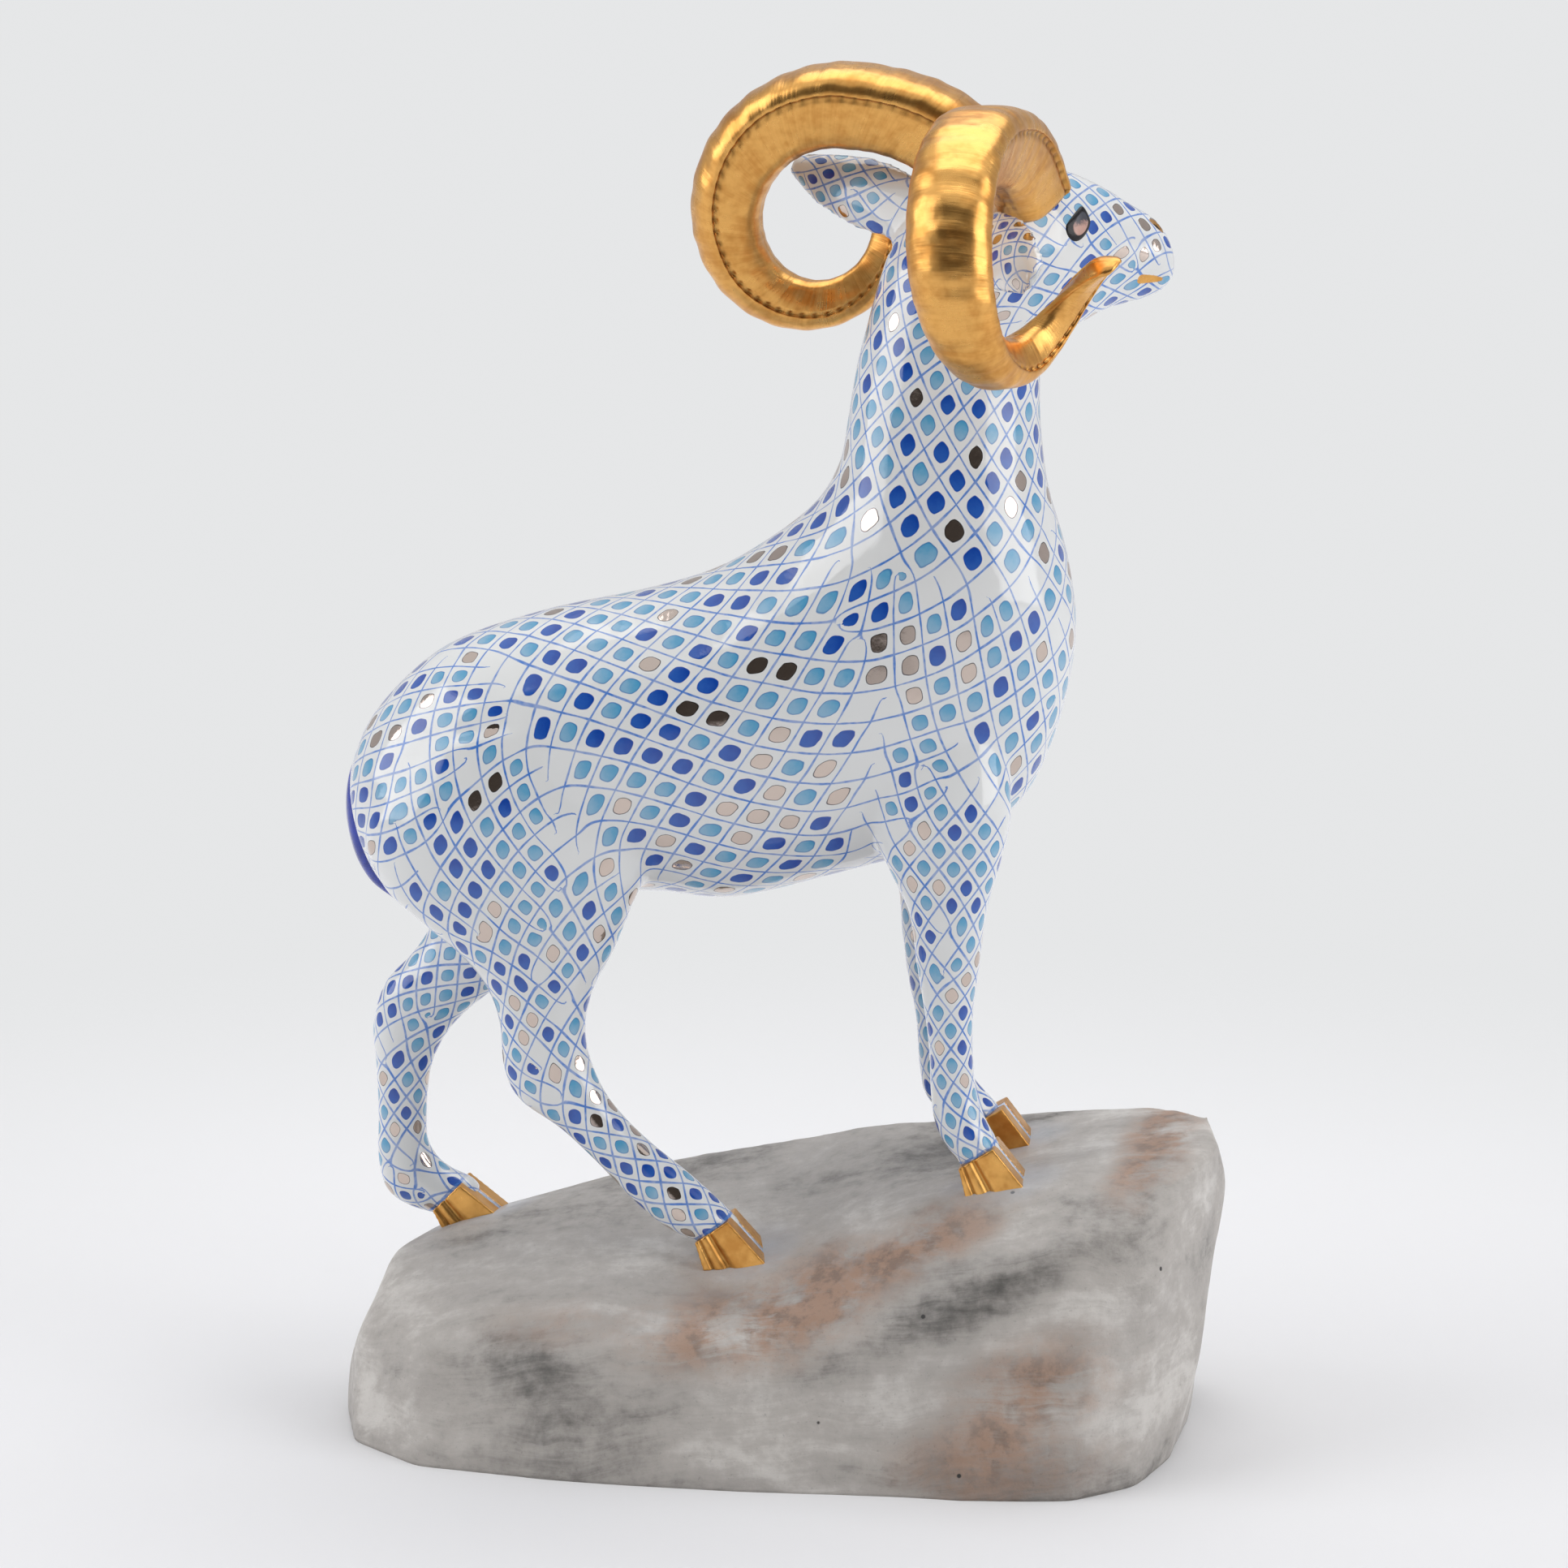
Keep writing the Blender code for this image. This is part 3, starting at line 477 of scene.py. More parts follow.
def end_cap(end, inner, reach):
    outward = (end.translation - inner.translation).normalized() * reach
    caps = []
    for angle in END_ROUND_ANGLES:
        size = math.cos(math.radians(angle))
        shifted = end @ Matrix.Diagonal((size, size, size, 1.0))
        shifted.translation = end.translation + outward * math.sin(math.radians(angle))
        caps.append(shifted)
    return caps


def side_discs(rows, middle_y, steps=SPAN_STEPS):
    """Discs from rows that give two points in side view and a half width."""
    discs = []
    for top_x, top_z, low_x, low_z, half_width in smooth_rows(rows, steps):
        top = Vector((top_x, middle_y, ROCK_HEIGHT + top_z)) * MM
        low = Vector((low_x, middle_y, ROCK_HEIGHT + low_z)) * MM
        across = Vector((0.0, half_width * MM, 0.0))
        discs.append(disc_matrix((top + low) / 2, (top - low) / 2, across))
    return discs


def head_discs(steps=SPAN_STEPS):
    discs = []
    for x, top, low, half_width in smooth_rows(HEAD, steps):
        centre = Vector((x, 0.0, (top + low) / 2)) * MM
        chord = Vector((0.0, 0.0, (top - low) / 2 * MM))
        across = Vector((0.0, half_width * MM, 0.0))
        discs.append(head_matrix() @ disc_matrix(centre, chord, across))
    return discs


def ear_discs(side):
    """Placement of a leaf's rings from the root to the tip; its hollow faces forwards and down."""
    root = Vector((EAR_ROOT[0], side * EAR_ROOT[1], EAR_ROOT[2])) * MM
    tip = Vector(EAR_TIPS[side]) * MM
    along = (tip - root).normalized()
    face = Vector(EAR_FACING)
    face = (face - along * face.dot(along)).normalized()
    wide = face.cross(along).normalized()
    discs = []
    for step in range(LEAF_RINGS + 1):
        t = step / LEAF_RINGS
        bulge = math.sin(math.pi * (EAR_ROOT_SHARE + (1 - EAR_ROOT_SHARE) * t)) ** EAR_BLUNTNESS
        width = EAR_WIDTH / 2 * (EAR_TIP_SHARE + (1 - EAR_TIP_SHARE) * bulge) * MM
        thick = EAR_THICKNESS / 2 * (1 + EAR_TAPER * (0.5 - t)) * MM
        sag = face * (EAR_HOLLOW * MM * math.sin(math.pi * t))
        discs.append(head_matrix() @ disc_matrix(root.lerp(tip, t) - sag, wide * width, face * thick))
    return discs


def leg_tables():
    return (
        (NEAR_FORELEG, -FORE_SPREAD), (FAR_FORELEG, FORE_SPREAD),
        (NEAR_HIND_LEG, -HIND_SPREAD), (FAR_HIND_LEG, HIND_SPREAD),
    )


def new_object(name, bm):
    mesh = bpy.data.meshes.new(name)
    bm.to_mesh(mesh)
    bm.free()
    item = bpy.data.objects.new(name, mesh)
    bpy.context.collection.objects.link(item)
    return item


def settle(item):
    """Turn an object's modifiers into its mesh."""
    graph = bpy.context.evaluated_depsgraph_get()
    mesh = bpy.data.meshes.new_from_object(item.evaluated_get(graph))
    item.modifiers.clear()
    item.data = mesh
    return item


def run_together(item, grain, passes):
    """One even skin of quads over overlapping solids, with its edges softened."""
    remesh = item.modifiers.new("Run together", "REMESH")
    remesh.mode = "VOXEL"
    remesh.voxel_size = grain
    smooth = item.modifiers.new("Smooth", "SMOOTH")
    smooth.factor = 0.5
    smooth.iterations = passes
    return settle(item)


def show_piece(item, material):
    """Put a finished mesh in the figurine's frame and give it its finish."""
    item.data.transform(Matrix.Translation(Vector(CENTRE_SHIFT) * MM))
    # Relief that stands a few hundredths of a millimetre past the figurine's box is pressed back to it
    write_points(item.data, numpy.clip(mesh_points(item.data), CAD_BOX[0], CAD_BOX[1]))
    item.data.materials.clear()
    item.data.materials.append(material)
    item.data.shade_smooth()
    item.data.name = item.name
    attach(item, BODY)
    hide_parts(NODE)
    return item


def read_all(items, key, width=1, kind=numpy.int64):
    """One property of all of a mesh's corners, edges or faces."""
    values = numpy.empty(len(items) * width, dtype=kind)
    items.foreach_get(key, values)
    return values


def mesh_points(mesh, key="co"):
    return read_all(mesh.vertices, key, 3, float).reshape(-1, 3)


def moved_points(points, matrix):
    matrix = numpy.array(matrix)
    return points @ matrix[:3, :3].T + matrix[:3, 3]


def write_points(mesh, points):
    mesh.vertices.foreach_set("co", points.ravel())
    mesh.update()


def write_mark(mesh, name, values):
    """Keep a number for each corner of the mesh, for its material to read."""
    mark = mesh.attributes.new(name, "FLOAT", "POINT")
    mark.data.foreach_set("value", numpy.asarray(values, dtype=numpy.float32))


def line_distance(points, corners):
    """Distance of each point to a line through corners, and how far along the line it is."""
    nearest = numpy.full(len(points), 1e9)
    place = numpy.zeros(len(points))
    travelled = 0.0
    for start, end in zip(corners, corners[1:]):
        start = numpy.array(start)
        span = numpy.array(end) - start
        size = numpy.linalg.norm(span)
        t = numpy.clip((points - start) @ span / size ** 2, 0.0, 1.0)
        apart = numpy.linalg.norm(points - start - t[:, None] * span, axis=1)
        closer = apart < nearest
        nearest[closer] = apart[closer]
        place[closer] = travelled + t[closer] * size
        travelled += size
    return nearest, place


# Painted trellis


def bone_rows():
    """Centre lines with a mean radius at each point, in the direction the trellis runs."""
    bones = [side_discs(TRUNK, 0.0, 2)[::-1], head_discs(2)[::-1]]
    bones.extend(side_discs(rows, middle, 2) for rows, middle in leg_tables())
    bones.extend(ear_discs(side)[::3] for side in (-1, 1))
    return [[(disc.translation, disc_radius(disc)) for disc in bone] for bone in bones]


def disc_radius(disc):
    return (disc.col[0].length + disc.col[1].length) / 2


def flow_and_size(points, normals, pairs, cell_width):
    """Direction of the trellis and width of its cells at each corner of the skin."""
    direction = numpy.zeros_like(points)
    size = numpy.zeros(len(points))
    total = numpy.zeros(len(points))
    for rows in bone_rows():
        centres = numpy.array([centre for centre, radius in rows])
        radii = numpy.array([radius for centre, radius in rows])
        for start, end, first, last in zip(centres, centres[1:], radii, radii[1:]):
            span = end - start
            reach = numpy.linalg.norm(span)
            if reach < 1e-9:
                continue
            t = numpy.clip((points - start) @ span / reach ** 2, 0.0, 1.0)
            radius = first + (last - first) * t
            apart = numpy.linalg.norm(points - start - t[:, None] * span, axis=1) / radius
            weight = numpy.exp(-(apart / BONE_REACH) ** 2) * reach / radius + 1e-12
            direction += weight[:, None] * span / reach
            size += weight * (LEAST_CELL * cell_width + CELL_GROWTH * radius)
            total += weight
    size /= total
    direction = flatten(direction, normals)
    for step in range(FLOW_PASSES):
        direction = flatten(direction + neighbour_sum(direction, pairs) * 0.25, normals)
    for step in range(SIZE_PASSES):
        size = (size + neighbour_sum(size, pairs) / pairs["count"]) / 2
    return direction, size


def flatten(vectors, normals):
    """Turn each vector into the surface and give it unit length."""
    flat = vectors - normals * (vectors * normals).sum(1)[:, None]
    return flat / (numpy.linalg.norm(flat, axis=1)[:, None] + 1e-12)


def neighbour_sum(values, pairs):
    """Sum of the values at the corners joined to each corner."""
    first, second, many = pairs["first"], pairs["second"], pairs["many"]
    if values.ndim == 1:
        return (numpy.bincount(first, values[second], many) + numpy.bincount(second, values[first], many))
    return numpy.stack([neighbour_sum(values[:, axis], pairs) for axis in range(values.shape[1])], axis=1)


def carried_sum(wave, turn, pairs):
    """Sum at each corner of its neighbours' waves, carried along the edges."""
    first, second, many = pairs["first"], pairs["second"], pairs["many"]
    there = wave[first] * turn
    back = wave[second] * turn.conj()
    real = numpy.bincount(second, there.real, many) + numpy.bincount(first, back.real, many)
    imaginary = numpy.bincount(second, there.imag, many) + numpy.bincount(first, back.imag, many)
    return real + 1j * imaginary


def stripe_phase(points, rate, pairs, seed):
    """Phase of one family of lines whose spacing and direction follow the rate, in cycles per metre."""
    first, second = pairs["first"], pairs["second"]
    step = 2 * math.pi * ((rate[first] + rate[second]) / 2 * (points[second] - points[first])).sum(1)
    turn = numpy.exp(1j * step)
    degree = pairs["count"] + 1e-5
    wave = numpy.exp(2j * math.pi * numpy.random.default_rng(seed).random(pairs["many"]))
    for solving in range(SOLVING_ROUNDS):
        wave = solve_waves(wave, turn, degree, pairs)
        wave /= numpy.abs(wave).max()
    for settling in range(SETTLING_PASSES):
        wave /= numpy.abs(wave) + 1e-12
        wave = wave + carried_sum(wave, turn, pairs) * 0.5
    calm = numpy.abs(carried_sum(wave / (numpy.abs(wave) + 1e-12), turn, pairs)) / pairs["count"]
    return numpy.angle(wave), step, calm


def solve_waves(goal, turn, degree, pairs):
    """Conjugate gradients for the wave whose spread over the edges is the goal."""
    answer = goal / degree
    left = goal - (degree * answer - carried_sum(answer, turn, pairs))
    heading = left.copy()
    energy = numpy.vdot(left, left).real
    start = energy
    for step in range(MOST_STEPS):
        spread = degree * heading - carried_sum(heading, turn, pairs)
        pace = energy / numpy.vdot(heading, spread).real
        answer += pace * heading
        left -= pace * spread
        fresh = numpy.vdot(left, left).real
        if fresh < start * SOLVED:
            break
        heading = left + heading * (fresh / energy)
        energy = fresh
    return answer


def nearest_turn(angle):
    return angle - 2 * math.pi * numpy.round(angle / (2 * math.pi))


def lay_trellis(mesh, settings):
    """Write a UV map whose whole numbers are the trellis lines, and a number for each cell."""
    points = mesh_points(mesh)
    normals = mesh_points(mesh, "normal")
    edges = read_all(mesh.edges, "vertices", 2).reshape(-1, 2)
    many = len(points)
    pairs = {"first": edges[:, 0], "second": edges[:, 1], "many": many}
    pairs["count"] = numpy.bincount(edges.ravel(), minlength=many).astype(float)
    flow, size = flow_and_size(points, normals, pairs, settings.cell_width)
    across = numpy.cross(normals, flow)
    lean = flow / (size * settings.cell_ratio)[:, None]
    spread = across / size[:, None]
    corners = read_all(mesh.loops, "vertex_index")
    starts, totals = (read_all(mesh.polygons, key) for key in ("loop_start", "loop_total"))
    anchor = corners[numpy.repeat(starts, totals)]
    both = numpy.empty((len(corners), 2))
    inside = numpy.ones(len(edges), dtype=bool)
    calm = numpy.ones(many)
    for index, rate in enumerate((spread + lean, spread - lean)):
        phase, step, even = stripe_phase(points, rate, pairs, settings.seed + index)
        calm = numpy.minimum(calm, even)
        walk = 2 * math.pi * ((rate[anchor] + rate[corners]) / 2 * (points[corners] - points[anchor])).sum(1)
        both[:, index] = phase[anchor] + walk + nearest_turn(phase[corners] - phase[anchor] - walk)
        far = phase[edges[:, 0]] + step + nearest_turn(phase[edges[:, 1]] - phase[edges[:, 0]] - step)
        inside &= numpy.floor(phase[edges[:, 0]] / (2 * math.pi)) == numpy.floor(far / (2 * math.pi))
    layer = mesh.uv_layers.new(name="trellis")
    layer.data.foreach_set("uv", (both / (2 * math.pi)).astype(numpy.float32).ravel())
    cell = cell_numbers(many, edges[inside])
    chance = numpy.random.default_rng(settings.seed).random(many)
    worst = numpy.ones(many)
    numpy.minimum.at(worst, cell, calm)
    chance[worst < CALM_ENOUGH] = BARE_CELL
    write_mark(mesh, "cell_colour", chance[cell])
    write_mark(mesh, "cell_width", size / MM)


def cell_numbers(many, edges):
    """The lowest corner number in each patch of corners that edges join."""
    number = numpy.arange(many)
    for spreading in range(200):
        before = number.copy()
        numpy.minimum.at(number, edges[:, 0], before[edges[:, 1]])
        numpy.minimum.at(number, edges[:, 1], before[edges[:, 0]])
        number = number[number]
        if (number == before).all():
            break
    return number


# Materials


class Nodes:
    """Short calls for building one node tree."""

    def __init__(self, tree):
        self.tree = tree

    def add(self, kind, inputs=None, **settings):
        node = self.tree.nodes.new(kind)
        for name, value in settings.items():
            setattr(node, name, value)
        self.fill(node.inputs, inputs or {})
        return node

    def fill(self, sockets, values):
        """Link or set each socket that the values name or number."""
        for key, value in values.items():
            if isinstance(value, bpy.types.NodeSocket):
                self.tree.links.new(value, sockets[key])
            elif sockets[key].type == "RGBA" and len(value) == 3:
                sockets[key].default_value = (*value, 1.0)
            else:
                sockets[key].default_value = value

    def math(self, operation, first, second=0.0, third=0.0, clamp=False):
        node = self.add("ShaderNodeMath", {0: first, 1: second, 2: third}, operation=operation)
        node.use_clamp = clamp
        return node.outputs[0]

    def times(self, first, second, clamp=False):
        return self.math("MULTIPLY", first, second, clamp=clamp)

    def plus(self, first, second):
        return self.math("ADD", first, second)

    def minus(self, first, second):
        return self.math("SUBTRACT", first, second)

    def times_plus(self, first, second, third):
        return self.math("MULTIPLY_ADD", first, second, third)

    def vector(self, operation, first, second=(0.0, 0.0, 0.0), scale=1.0):
        node = self.add("ShaderNodeVectorMath", {0: first, 1: second}, operation=operation)
        if operation == "SCALE":
            node.inputs["Scale"].default_value = scale
        output = "Value" if operation in ("LENGTH", "DISTANCE", "DOT_PRODUCT") else "Vector"
        return node.outputs[output]

    def ramp(self, value, low, high, start=0.0, end=1.0, smooth=True):
        node = self.add("ShaderNodeMapRange", {0: value, 1: low, 2: high, 3: start, 4: end})
        node.interpolation_type = "SMOOTHSTEP" if smooth else "LINEAR"
        return node.outputs[0]

    def mix(self, amount, first, second, blend="MIX"):
        node = self.add("ShaderNodeMix", data_type="RGBA", blend_type=blend)
        self.fill(node.inputs, {0: amount, 6: first, 7: second})
        return node.outputs[2]

    def noise(self, place, scale, detail=2.0, roughness=0.5, distortion=0.0, colour=False):
        node = self.add("ShaderNodeTexNoise", {
            "Vector": place, "Scale": scale, "Detail": detail, "Roughness": roughness,
            "Distortion": distortion})
        return node.outputs["Color" if colour else "Fac"]

    def mark(self, name):
        return self.add("ShaderNodeAttribute", attribute_name=name).outputs["Fac"]

    def bump(self, height, distance, strength=1.0, normal=None):
        inputs = {"Height": height, "Distance": distance, "Strength": strength}
        if normal is not None:
            inputs["Normal"] = normal
        return self.add("ShaderNodeBump", inputs).outputs["Normal"]

    def group(self, tree, inputs):
        return self.add("ShaderNodeGroup", inputs, node_tree=tree).outputs

    def brush(self, place, scale):
        tree = shared_group("Brushed colour", "Scale", ("Cover",), fill_brushed_paint)
        return self.group(tree, {"Place": place, "Scale": scale})["Cover"]

    def glaze(self, place, wave_size):
        tree = shared_group("Fired glaze", "Wave size", ("Height", "Roughness", "Tint"), fill_glaze)
        return self.group(tree, {"Place": place, "Wave size": wave_size})


def new_material(name, **constants):
    """A material, its shader's sockets with the constants set on them, its nodes and the place to paint by."""
    material = bpy.data.materials.new(name)
    material.use_nodes = True
    sockets = material.node_tree.nodes["Principled BSDF"].inputs
    for key, value in constants.items():
        sockets[key.replace("_", " ")].default_value = value
    nodes = Nodes(material.node_tree)
    return material, sockets, nodes, nodes.add("ShaderNodeTexCoord").outputs["Object"]


def shared_group(name, size, outputs, fill):
    """The node group of this name, which takes a place and a size. It is built when first asked for."""
    if name in bpy.data.node_groups:
        return bpy.data.node_groups[name]
    tree = bpy.data.node_groups.new(name, "ShaderNodeTree")
    tree.interface.new_socket("Place", in_out="INPUT", socket_type="NodeSocketVector")
    tree.interface.new_socket(size, in_out="INPUT", socket_type="NodeSocketFloat")
    for key in outputs:
        tree.interface.new_socket(key, in_out="OUTPUT", socket_type="NodeSocketFloat")
    nodes = Nodes(tree)
    fill(nodes, nodes.add("NodeGroupInput").outputs, nodes.add("NodeGroupOutput").inputs)
    return tree


def darker(colour, share_kept):
    return tuple(share_kept * value for value in colour)


def fill_glaze(nodes, given, made):
    """Slow waves and pinholes of a fired glaze: a height, a roughness and a tint."""
    slow = nodes.noise(given["Place"], nodes.math("DIVIDE", 1.0, given["Wave size"]), 2.0, 0.45)
    fine = nodes.noise(given["Place"], 900.0, 2.0, 0.5)
    nodes.fill(made, {
        "Height": nodes.times_plus(fine, 0.03, slow),
        "Roughness": nodes.ramp(fine, 0.35, 0.75, 0.05, 0.10),
        "Tint": nodes.noise(given["Place"], 35.0, 3.0, 0.55)})


def fill_brushed_paint(nodes, given, made):
    """Uneven cover of brushed colour: thin where the brush lifted, thick where it settled."""
    broad = nodes.noise(given["Place"], given["Scale"], 3.0, 0.6, 0.4)
    fine = nodes.noise(given["Place"], nodes.times(given["Scale"], 5.0), 2.0, 0.6)
    cover = nodes.times_plus(fine, 0.35, nodes.times(broad, 0.65))
    nodes.fill(made, {"Cover": nodes.ramp(cover, 0.3, 0.7)})


def porcelain_material(settings, gilding):
    """White glaze with a painted trellis of thin lines and a spot in each cell."""
    material, sockets, nodes, place = new_material("painted_porcelain", IOR=1.5, Coat_Roughness=0.03)
    glaze = nodes.glaze(place, 0.014)
    brush = nodes.brush(place, 170.0)
    width = nodes.mark("cell_width")
    wobble = nodes.noise(place, 90.0, 2.0, 0.5, colour=True)
    wobble = nodes.vector("SCALE", nodes.vector("SUBTRACT", wobble, (0.5, 0.5, 0.5)), scale=0.16)
    trellis = nodes.vector("ADD", nodes.add("ShaderNodeUVMap", uv_map="trellis").outputs[0], wobble)
    inside = nodes.add("ShaderNodeSeparateXYZ", {0: nodes.vector("FRACTION", trellis)}).outputs
    # How far each family's nearest line is, in mm: a cell is so wide over its root of 1 + ratio squared
    to_mm = nodes.times(width, 1 / math.hypot(1.0, 1 / settings.cell_ratio))
    lines = [nodes.times(nodes.math("PINGPONG", inside[axis], 0.5), to_mm) for axis in (0, 1)]
    nearest = nodes.math("MINIMUM", *lines)
    weight = nodes.ramp(nodes.noise(place, 260.0, 2.0), 0.25, 0.75, 0.55, 1.25)
    half_line = nodes.times(weight, settings.line_width / MM / 2)
    soft_edge = nodes.minus(nearest, half_line)
    line = nodes.ramp(soft_edge, -0.06, 0.1, 1.0, 0.0)
    # Place in the cell: along the flow and across it, from -1 to 1 at its corners
    along = nodes.minus(inside[0], inside[1])
    across = nodes.minus(nodes.plus(inside[0], inside[1]), 1.0)
    powers = [nodes.math("POWER", nodes.math("ABSOLUTE", axis), SPOT_ROUNDNESS) for axis in (along, across)]
    spread = nodes.math("POWER", nodes.plus(*powers), 1 / SPOT_ROUNDNESS)
    chance = nodes.mark("cell_colour")
    uneven = nodes.ramp(nodes.noise(place, 420.0, 1.0), 0.3, 0.7, -0.03, 0.03)
    spread = nodes.plus(spread, uneven)
    spot = nodes.ramp(spread, settings.spot_size + 0.02, settings.spot_size - 0.02)
    spot = nodes.times(spot, nodes.math("LESS_THAN", chance, (1.0 + BARE_CELL) / 2))
    rim = nodes.ramp(spread, settings.spot_size - 0.09, settings.spot_size - 0.02)
    silver = nodes.math("GREATER_THAN", chance, ROYAL_SHARE)
    royal = nodes.times(nodes.math("GREATER_THAN", chance, TURQUOISE_SHARE),
                       nodes.math("LESS_THAN", chance, ROYAL_SHARE))
    # Blue spots are brushed from a full end to a thin end
    fade = nodes.ramp(nodes.plus(along, nodes.times(brush, 0.35)), -0.25, 0.55, 0.0, 1.0)
    light_turquoise = nodes.mix(0.22, settings.turquoise, settings.glaze)
    light_royal = nodes.mix(0.35, settings.royal_blue, settings.line_blue)
    turquoise = nodes.mix(fade, settings.turquoise, light_turquoise)
    royal_paint = nodes.mix(fade, settings.royal_blue, light_royal)
    colour = nodes.mix(royal, turquoise, royal_paint)
    colour = nodes.mix(nodes.times(rim, 0.45), colour, settings.royal_blue)
    silver_colour = nodes.mix(nodes.ramp(spread, settings.spot_size - 0.05, settings.spot_size - 0.015),
                              settings.platinum, (0.03, 0.03, 0.05))
    colour = nodes.mix(silver, colour, silver_colour)
    tinted = nodes.mix(glaze["Tint"], settings.glaze, darker(settings.glaze, 0.93))
    line_strength = nodes.times(line, nodes.ramp(brush, 0.0, 1.0, 0.62, 1.0))
    base = nodes.mix(line_strength, tinted, settings.line_blue)
    base = nodes.mix(spot, base, colour)
    coronet = nodes.ramp(nodes.mark("coronet_line"), 0.35, 0.65)
    base = nodes.mix(nodes.times(coronet, 0.85), base, settings.line_blue)
    # Blue outline round the ear hollows, which are grey with painted shade, and gold on the nostrils and the
    # mouth
    hollow = nodes.mark("ear_hollow")
    base = nodes.mix(nodes.ramp(hollow, 0.2, 0.3), base, settings.line_blue)
    # The hollows take a grey of painted shade, lighter or darker with the brush
    hollow = nodes.ramp(hollow, 0.4, 0.5)
    base = nodes.mix(hollow, base, nodes.mix(brush, EAR_SHADE, EAR_PALE_SHADE))
    gold = nodes.ramp(nodes.mark("gold_line"), 0.42, 0.58)
    # Painted shade: the nostril pits darken almost to black
    dark = nodes.ramp(nodes.mark("nostril_dark"), 0.4, 0.6)
    base = nodes.mix(gold, base, nodes.mix(brush, gilding.worn_gold, gilding.gold))
    base = nodes.mix(dark, base, (0.012, 0.011, 0.012))
    unhollowed = nodes.minus(1.0, hollow)
    silver_mask = nodes.times(nodes.times(spot, silver), unhollowed)
    metal = nodes.math("MAXIMUM", silver_mask, gold)
    rough = nodes.plus(glaze["Roughness"], nodes.times(gold, 0.16))
    raised = nodes.times_plus(spot, 0.22, nodes.times(line, 0.1))
    waves = nodes.bump(glaze["Height"], 0.0011, 0.55)
    nodes.fill(sockets, {
        "Base Color": base,
        "Metallic": metal,
        "Roughness": nodes.plus(rough, nodes.times(line, 0.04)),
        "Coat Weight": nodes.times(nodes.minus(1.0, metal), 0.6),
        "Normal": nodes.bump(raised, 0.0002, 0.5, waves)})
    return material


def gold_material(settings):
    """Burnished gold: satin, with brush marks, thinner worn patches and painted shade in its notches and
    grooves.
    """
    material, sockets, nodes, place = new_material("burnished_gold", Metallic=1.0)
    brush = nodes.brush(place, 110.0)
    # Fine strokes run across the horns, whose own mark counts metres from their roots
    across = nodes.add("ShaderNodeCombineXYZ", {2: nodes.times(nodes.mark("along"), 1500.0)}).outputs[0]
    stretched = nodes.vector("ADD", nodes.vector("SCALE", place, scale=70.0), across)
    strokes = nodes.noise(stretched, 1.0, 3.0, 0.6)
    thin = nodes.times_plus(strokes, 0.5, nodes.times(brush, 0.5))
    colour = nodes.mix(nodes.ramp(thin, 0.2, 0.7), settings.worn_gold, settings.gold)
    # Painted shade in the horns' notched line and the hooves' grooves, read from their keel_shade mark
    keel = nodes.times(nodes.mark("keel_shade"), 0.85)
    rough = nodes.times_plus(brush, -0.08, settings.roughness + 0.06)
    slow = nodes.bump(nodes.noise(place, 130.0, 2.0, 0.5), 0.0011, 0.55)
    nodes.fill(sockets, {
        "Base Color": nodes.mix(keel, colour, GROOVE_SHADE_BROWN),
        "Roughness": nodes.times_plus(strokes, 0.1, rough),
        "Normal": nodes.bump(strokes, 0.00012, 0.5, slow)})
    return material


def cobalt_material(settings):
    material, sockets, nodes, place = new_material(
        "cobalt_glaze", IOR=1.5, Coat_Roughness=0.03, Coat_Weight=0.6)
    glaze = nodes.glaze(place, 0.01)
    nodes.fill(sockets, {
        "Base Color": nodes.mix(nodes.brush(place, 140.0), darker(settings.cobalt, 0.55), settings.cobalt),
        "Roughness": glaze["Roughness"],
        "Normal": nodes.bump(glaze["Height"], 0.0008, 0.5)})
    return material


def eye_material(settings):
    """Painted eye: dark above, warm below, inside a black outline."""
    material, sockets, nodes, place = new_material(
        "painted_eye", IOR=1.35, Coat_Roughness=0.02, Coat_Weight=0.1)
    brush = nodes.brush(place, 600.0)
    height = nodes.times_plus(brush, 0.25, nodes.mark("eye_height"))
    colour = nodes.mix(nodes.ramp(height, -0.05, 0.35), settings.eye_warm, settings.eye_dark)
    nodes.fill(sockets, {
        "Base Color": nodes.mix(nodes.ramp(nodes.mark("eye_edge"), 0.60, 0.70), colour, EYE_OUTLINE),
        "Roughness": nodes.ramp(brush, 0.0, 1.0, 0.06, 0.14),
        "Normal": nodes.bump(brush, 0.0001, 0.3)})
    return material


# x, z, half sizes in mm, tilt in degrees and strength of painted clouds, seen from the near side; some pale
# ones are painted highlights along the rock's edges and some dark ones painted shade along its valleys
BROWN_CLOUDS = (
    (-3, 26, 18, 7, 8, 1.2), (15, 34, 15, 4.5, 25, 1.0), (33, 43, 13, 3, 25, 0.8), (51, 19, 14, 8, 25, 1.0),
    (44, 6, 17, 6, 0, 0.8), (68, 53, 8, 3.5, 30, 1.2), (-36, 24, 12, 3, 5, 0.4),
)
DARK_CLOUDS_AND_SHADE = (
    (30, 28, 26, 4.5, 25, 1.0), (52, 39, 15, 5, 20, 0.9), (-42, 16, 17, 8, 0, 0.9), (35, 50, 15, 4, 10, 0.35),
    (50, 2, 20, 4, 0, 0.7), (-60, 32, 11, 5, 25, 0.5), (62, 29, 8, 7, 0, 0.4), (-15, 42, 18, 4, 15, 0.35),
)
PALE_CLOUDS_AND_HIGHLIGHTS = (
    (-14, 34, 15, 2.6, 8, 0.7), (-72, 12, 5, 16, 10, 0.8), (4, 10, 18, 5, 5, 0.2), (66, 18, 8, 9, 0, 0.6),
    (76, 48, 4, 12, 20, 0.9), (-28, 30, 11, 4, 15, 0.5), (26, 12, 9, 6, 45, 0.5), (-55, 5, 16, 4, 0, 0.6),
)


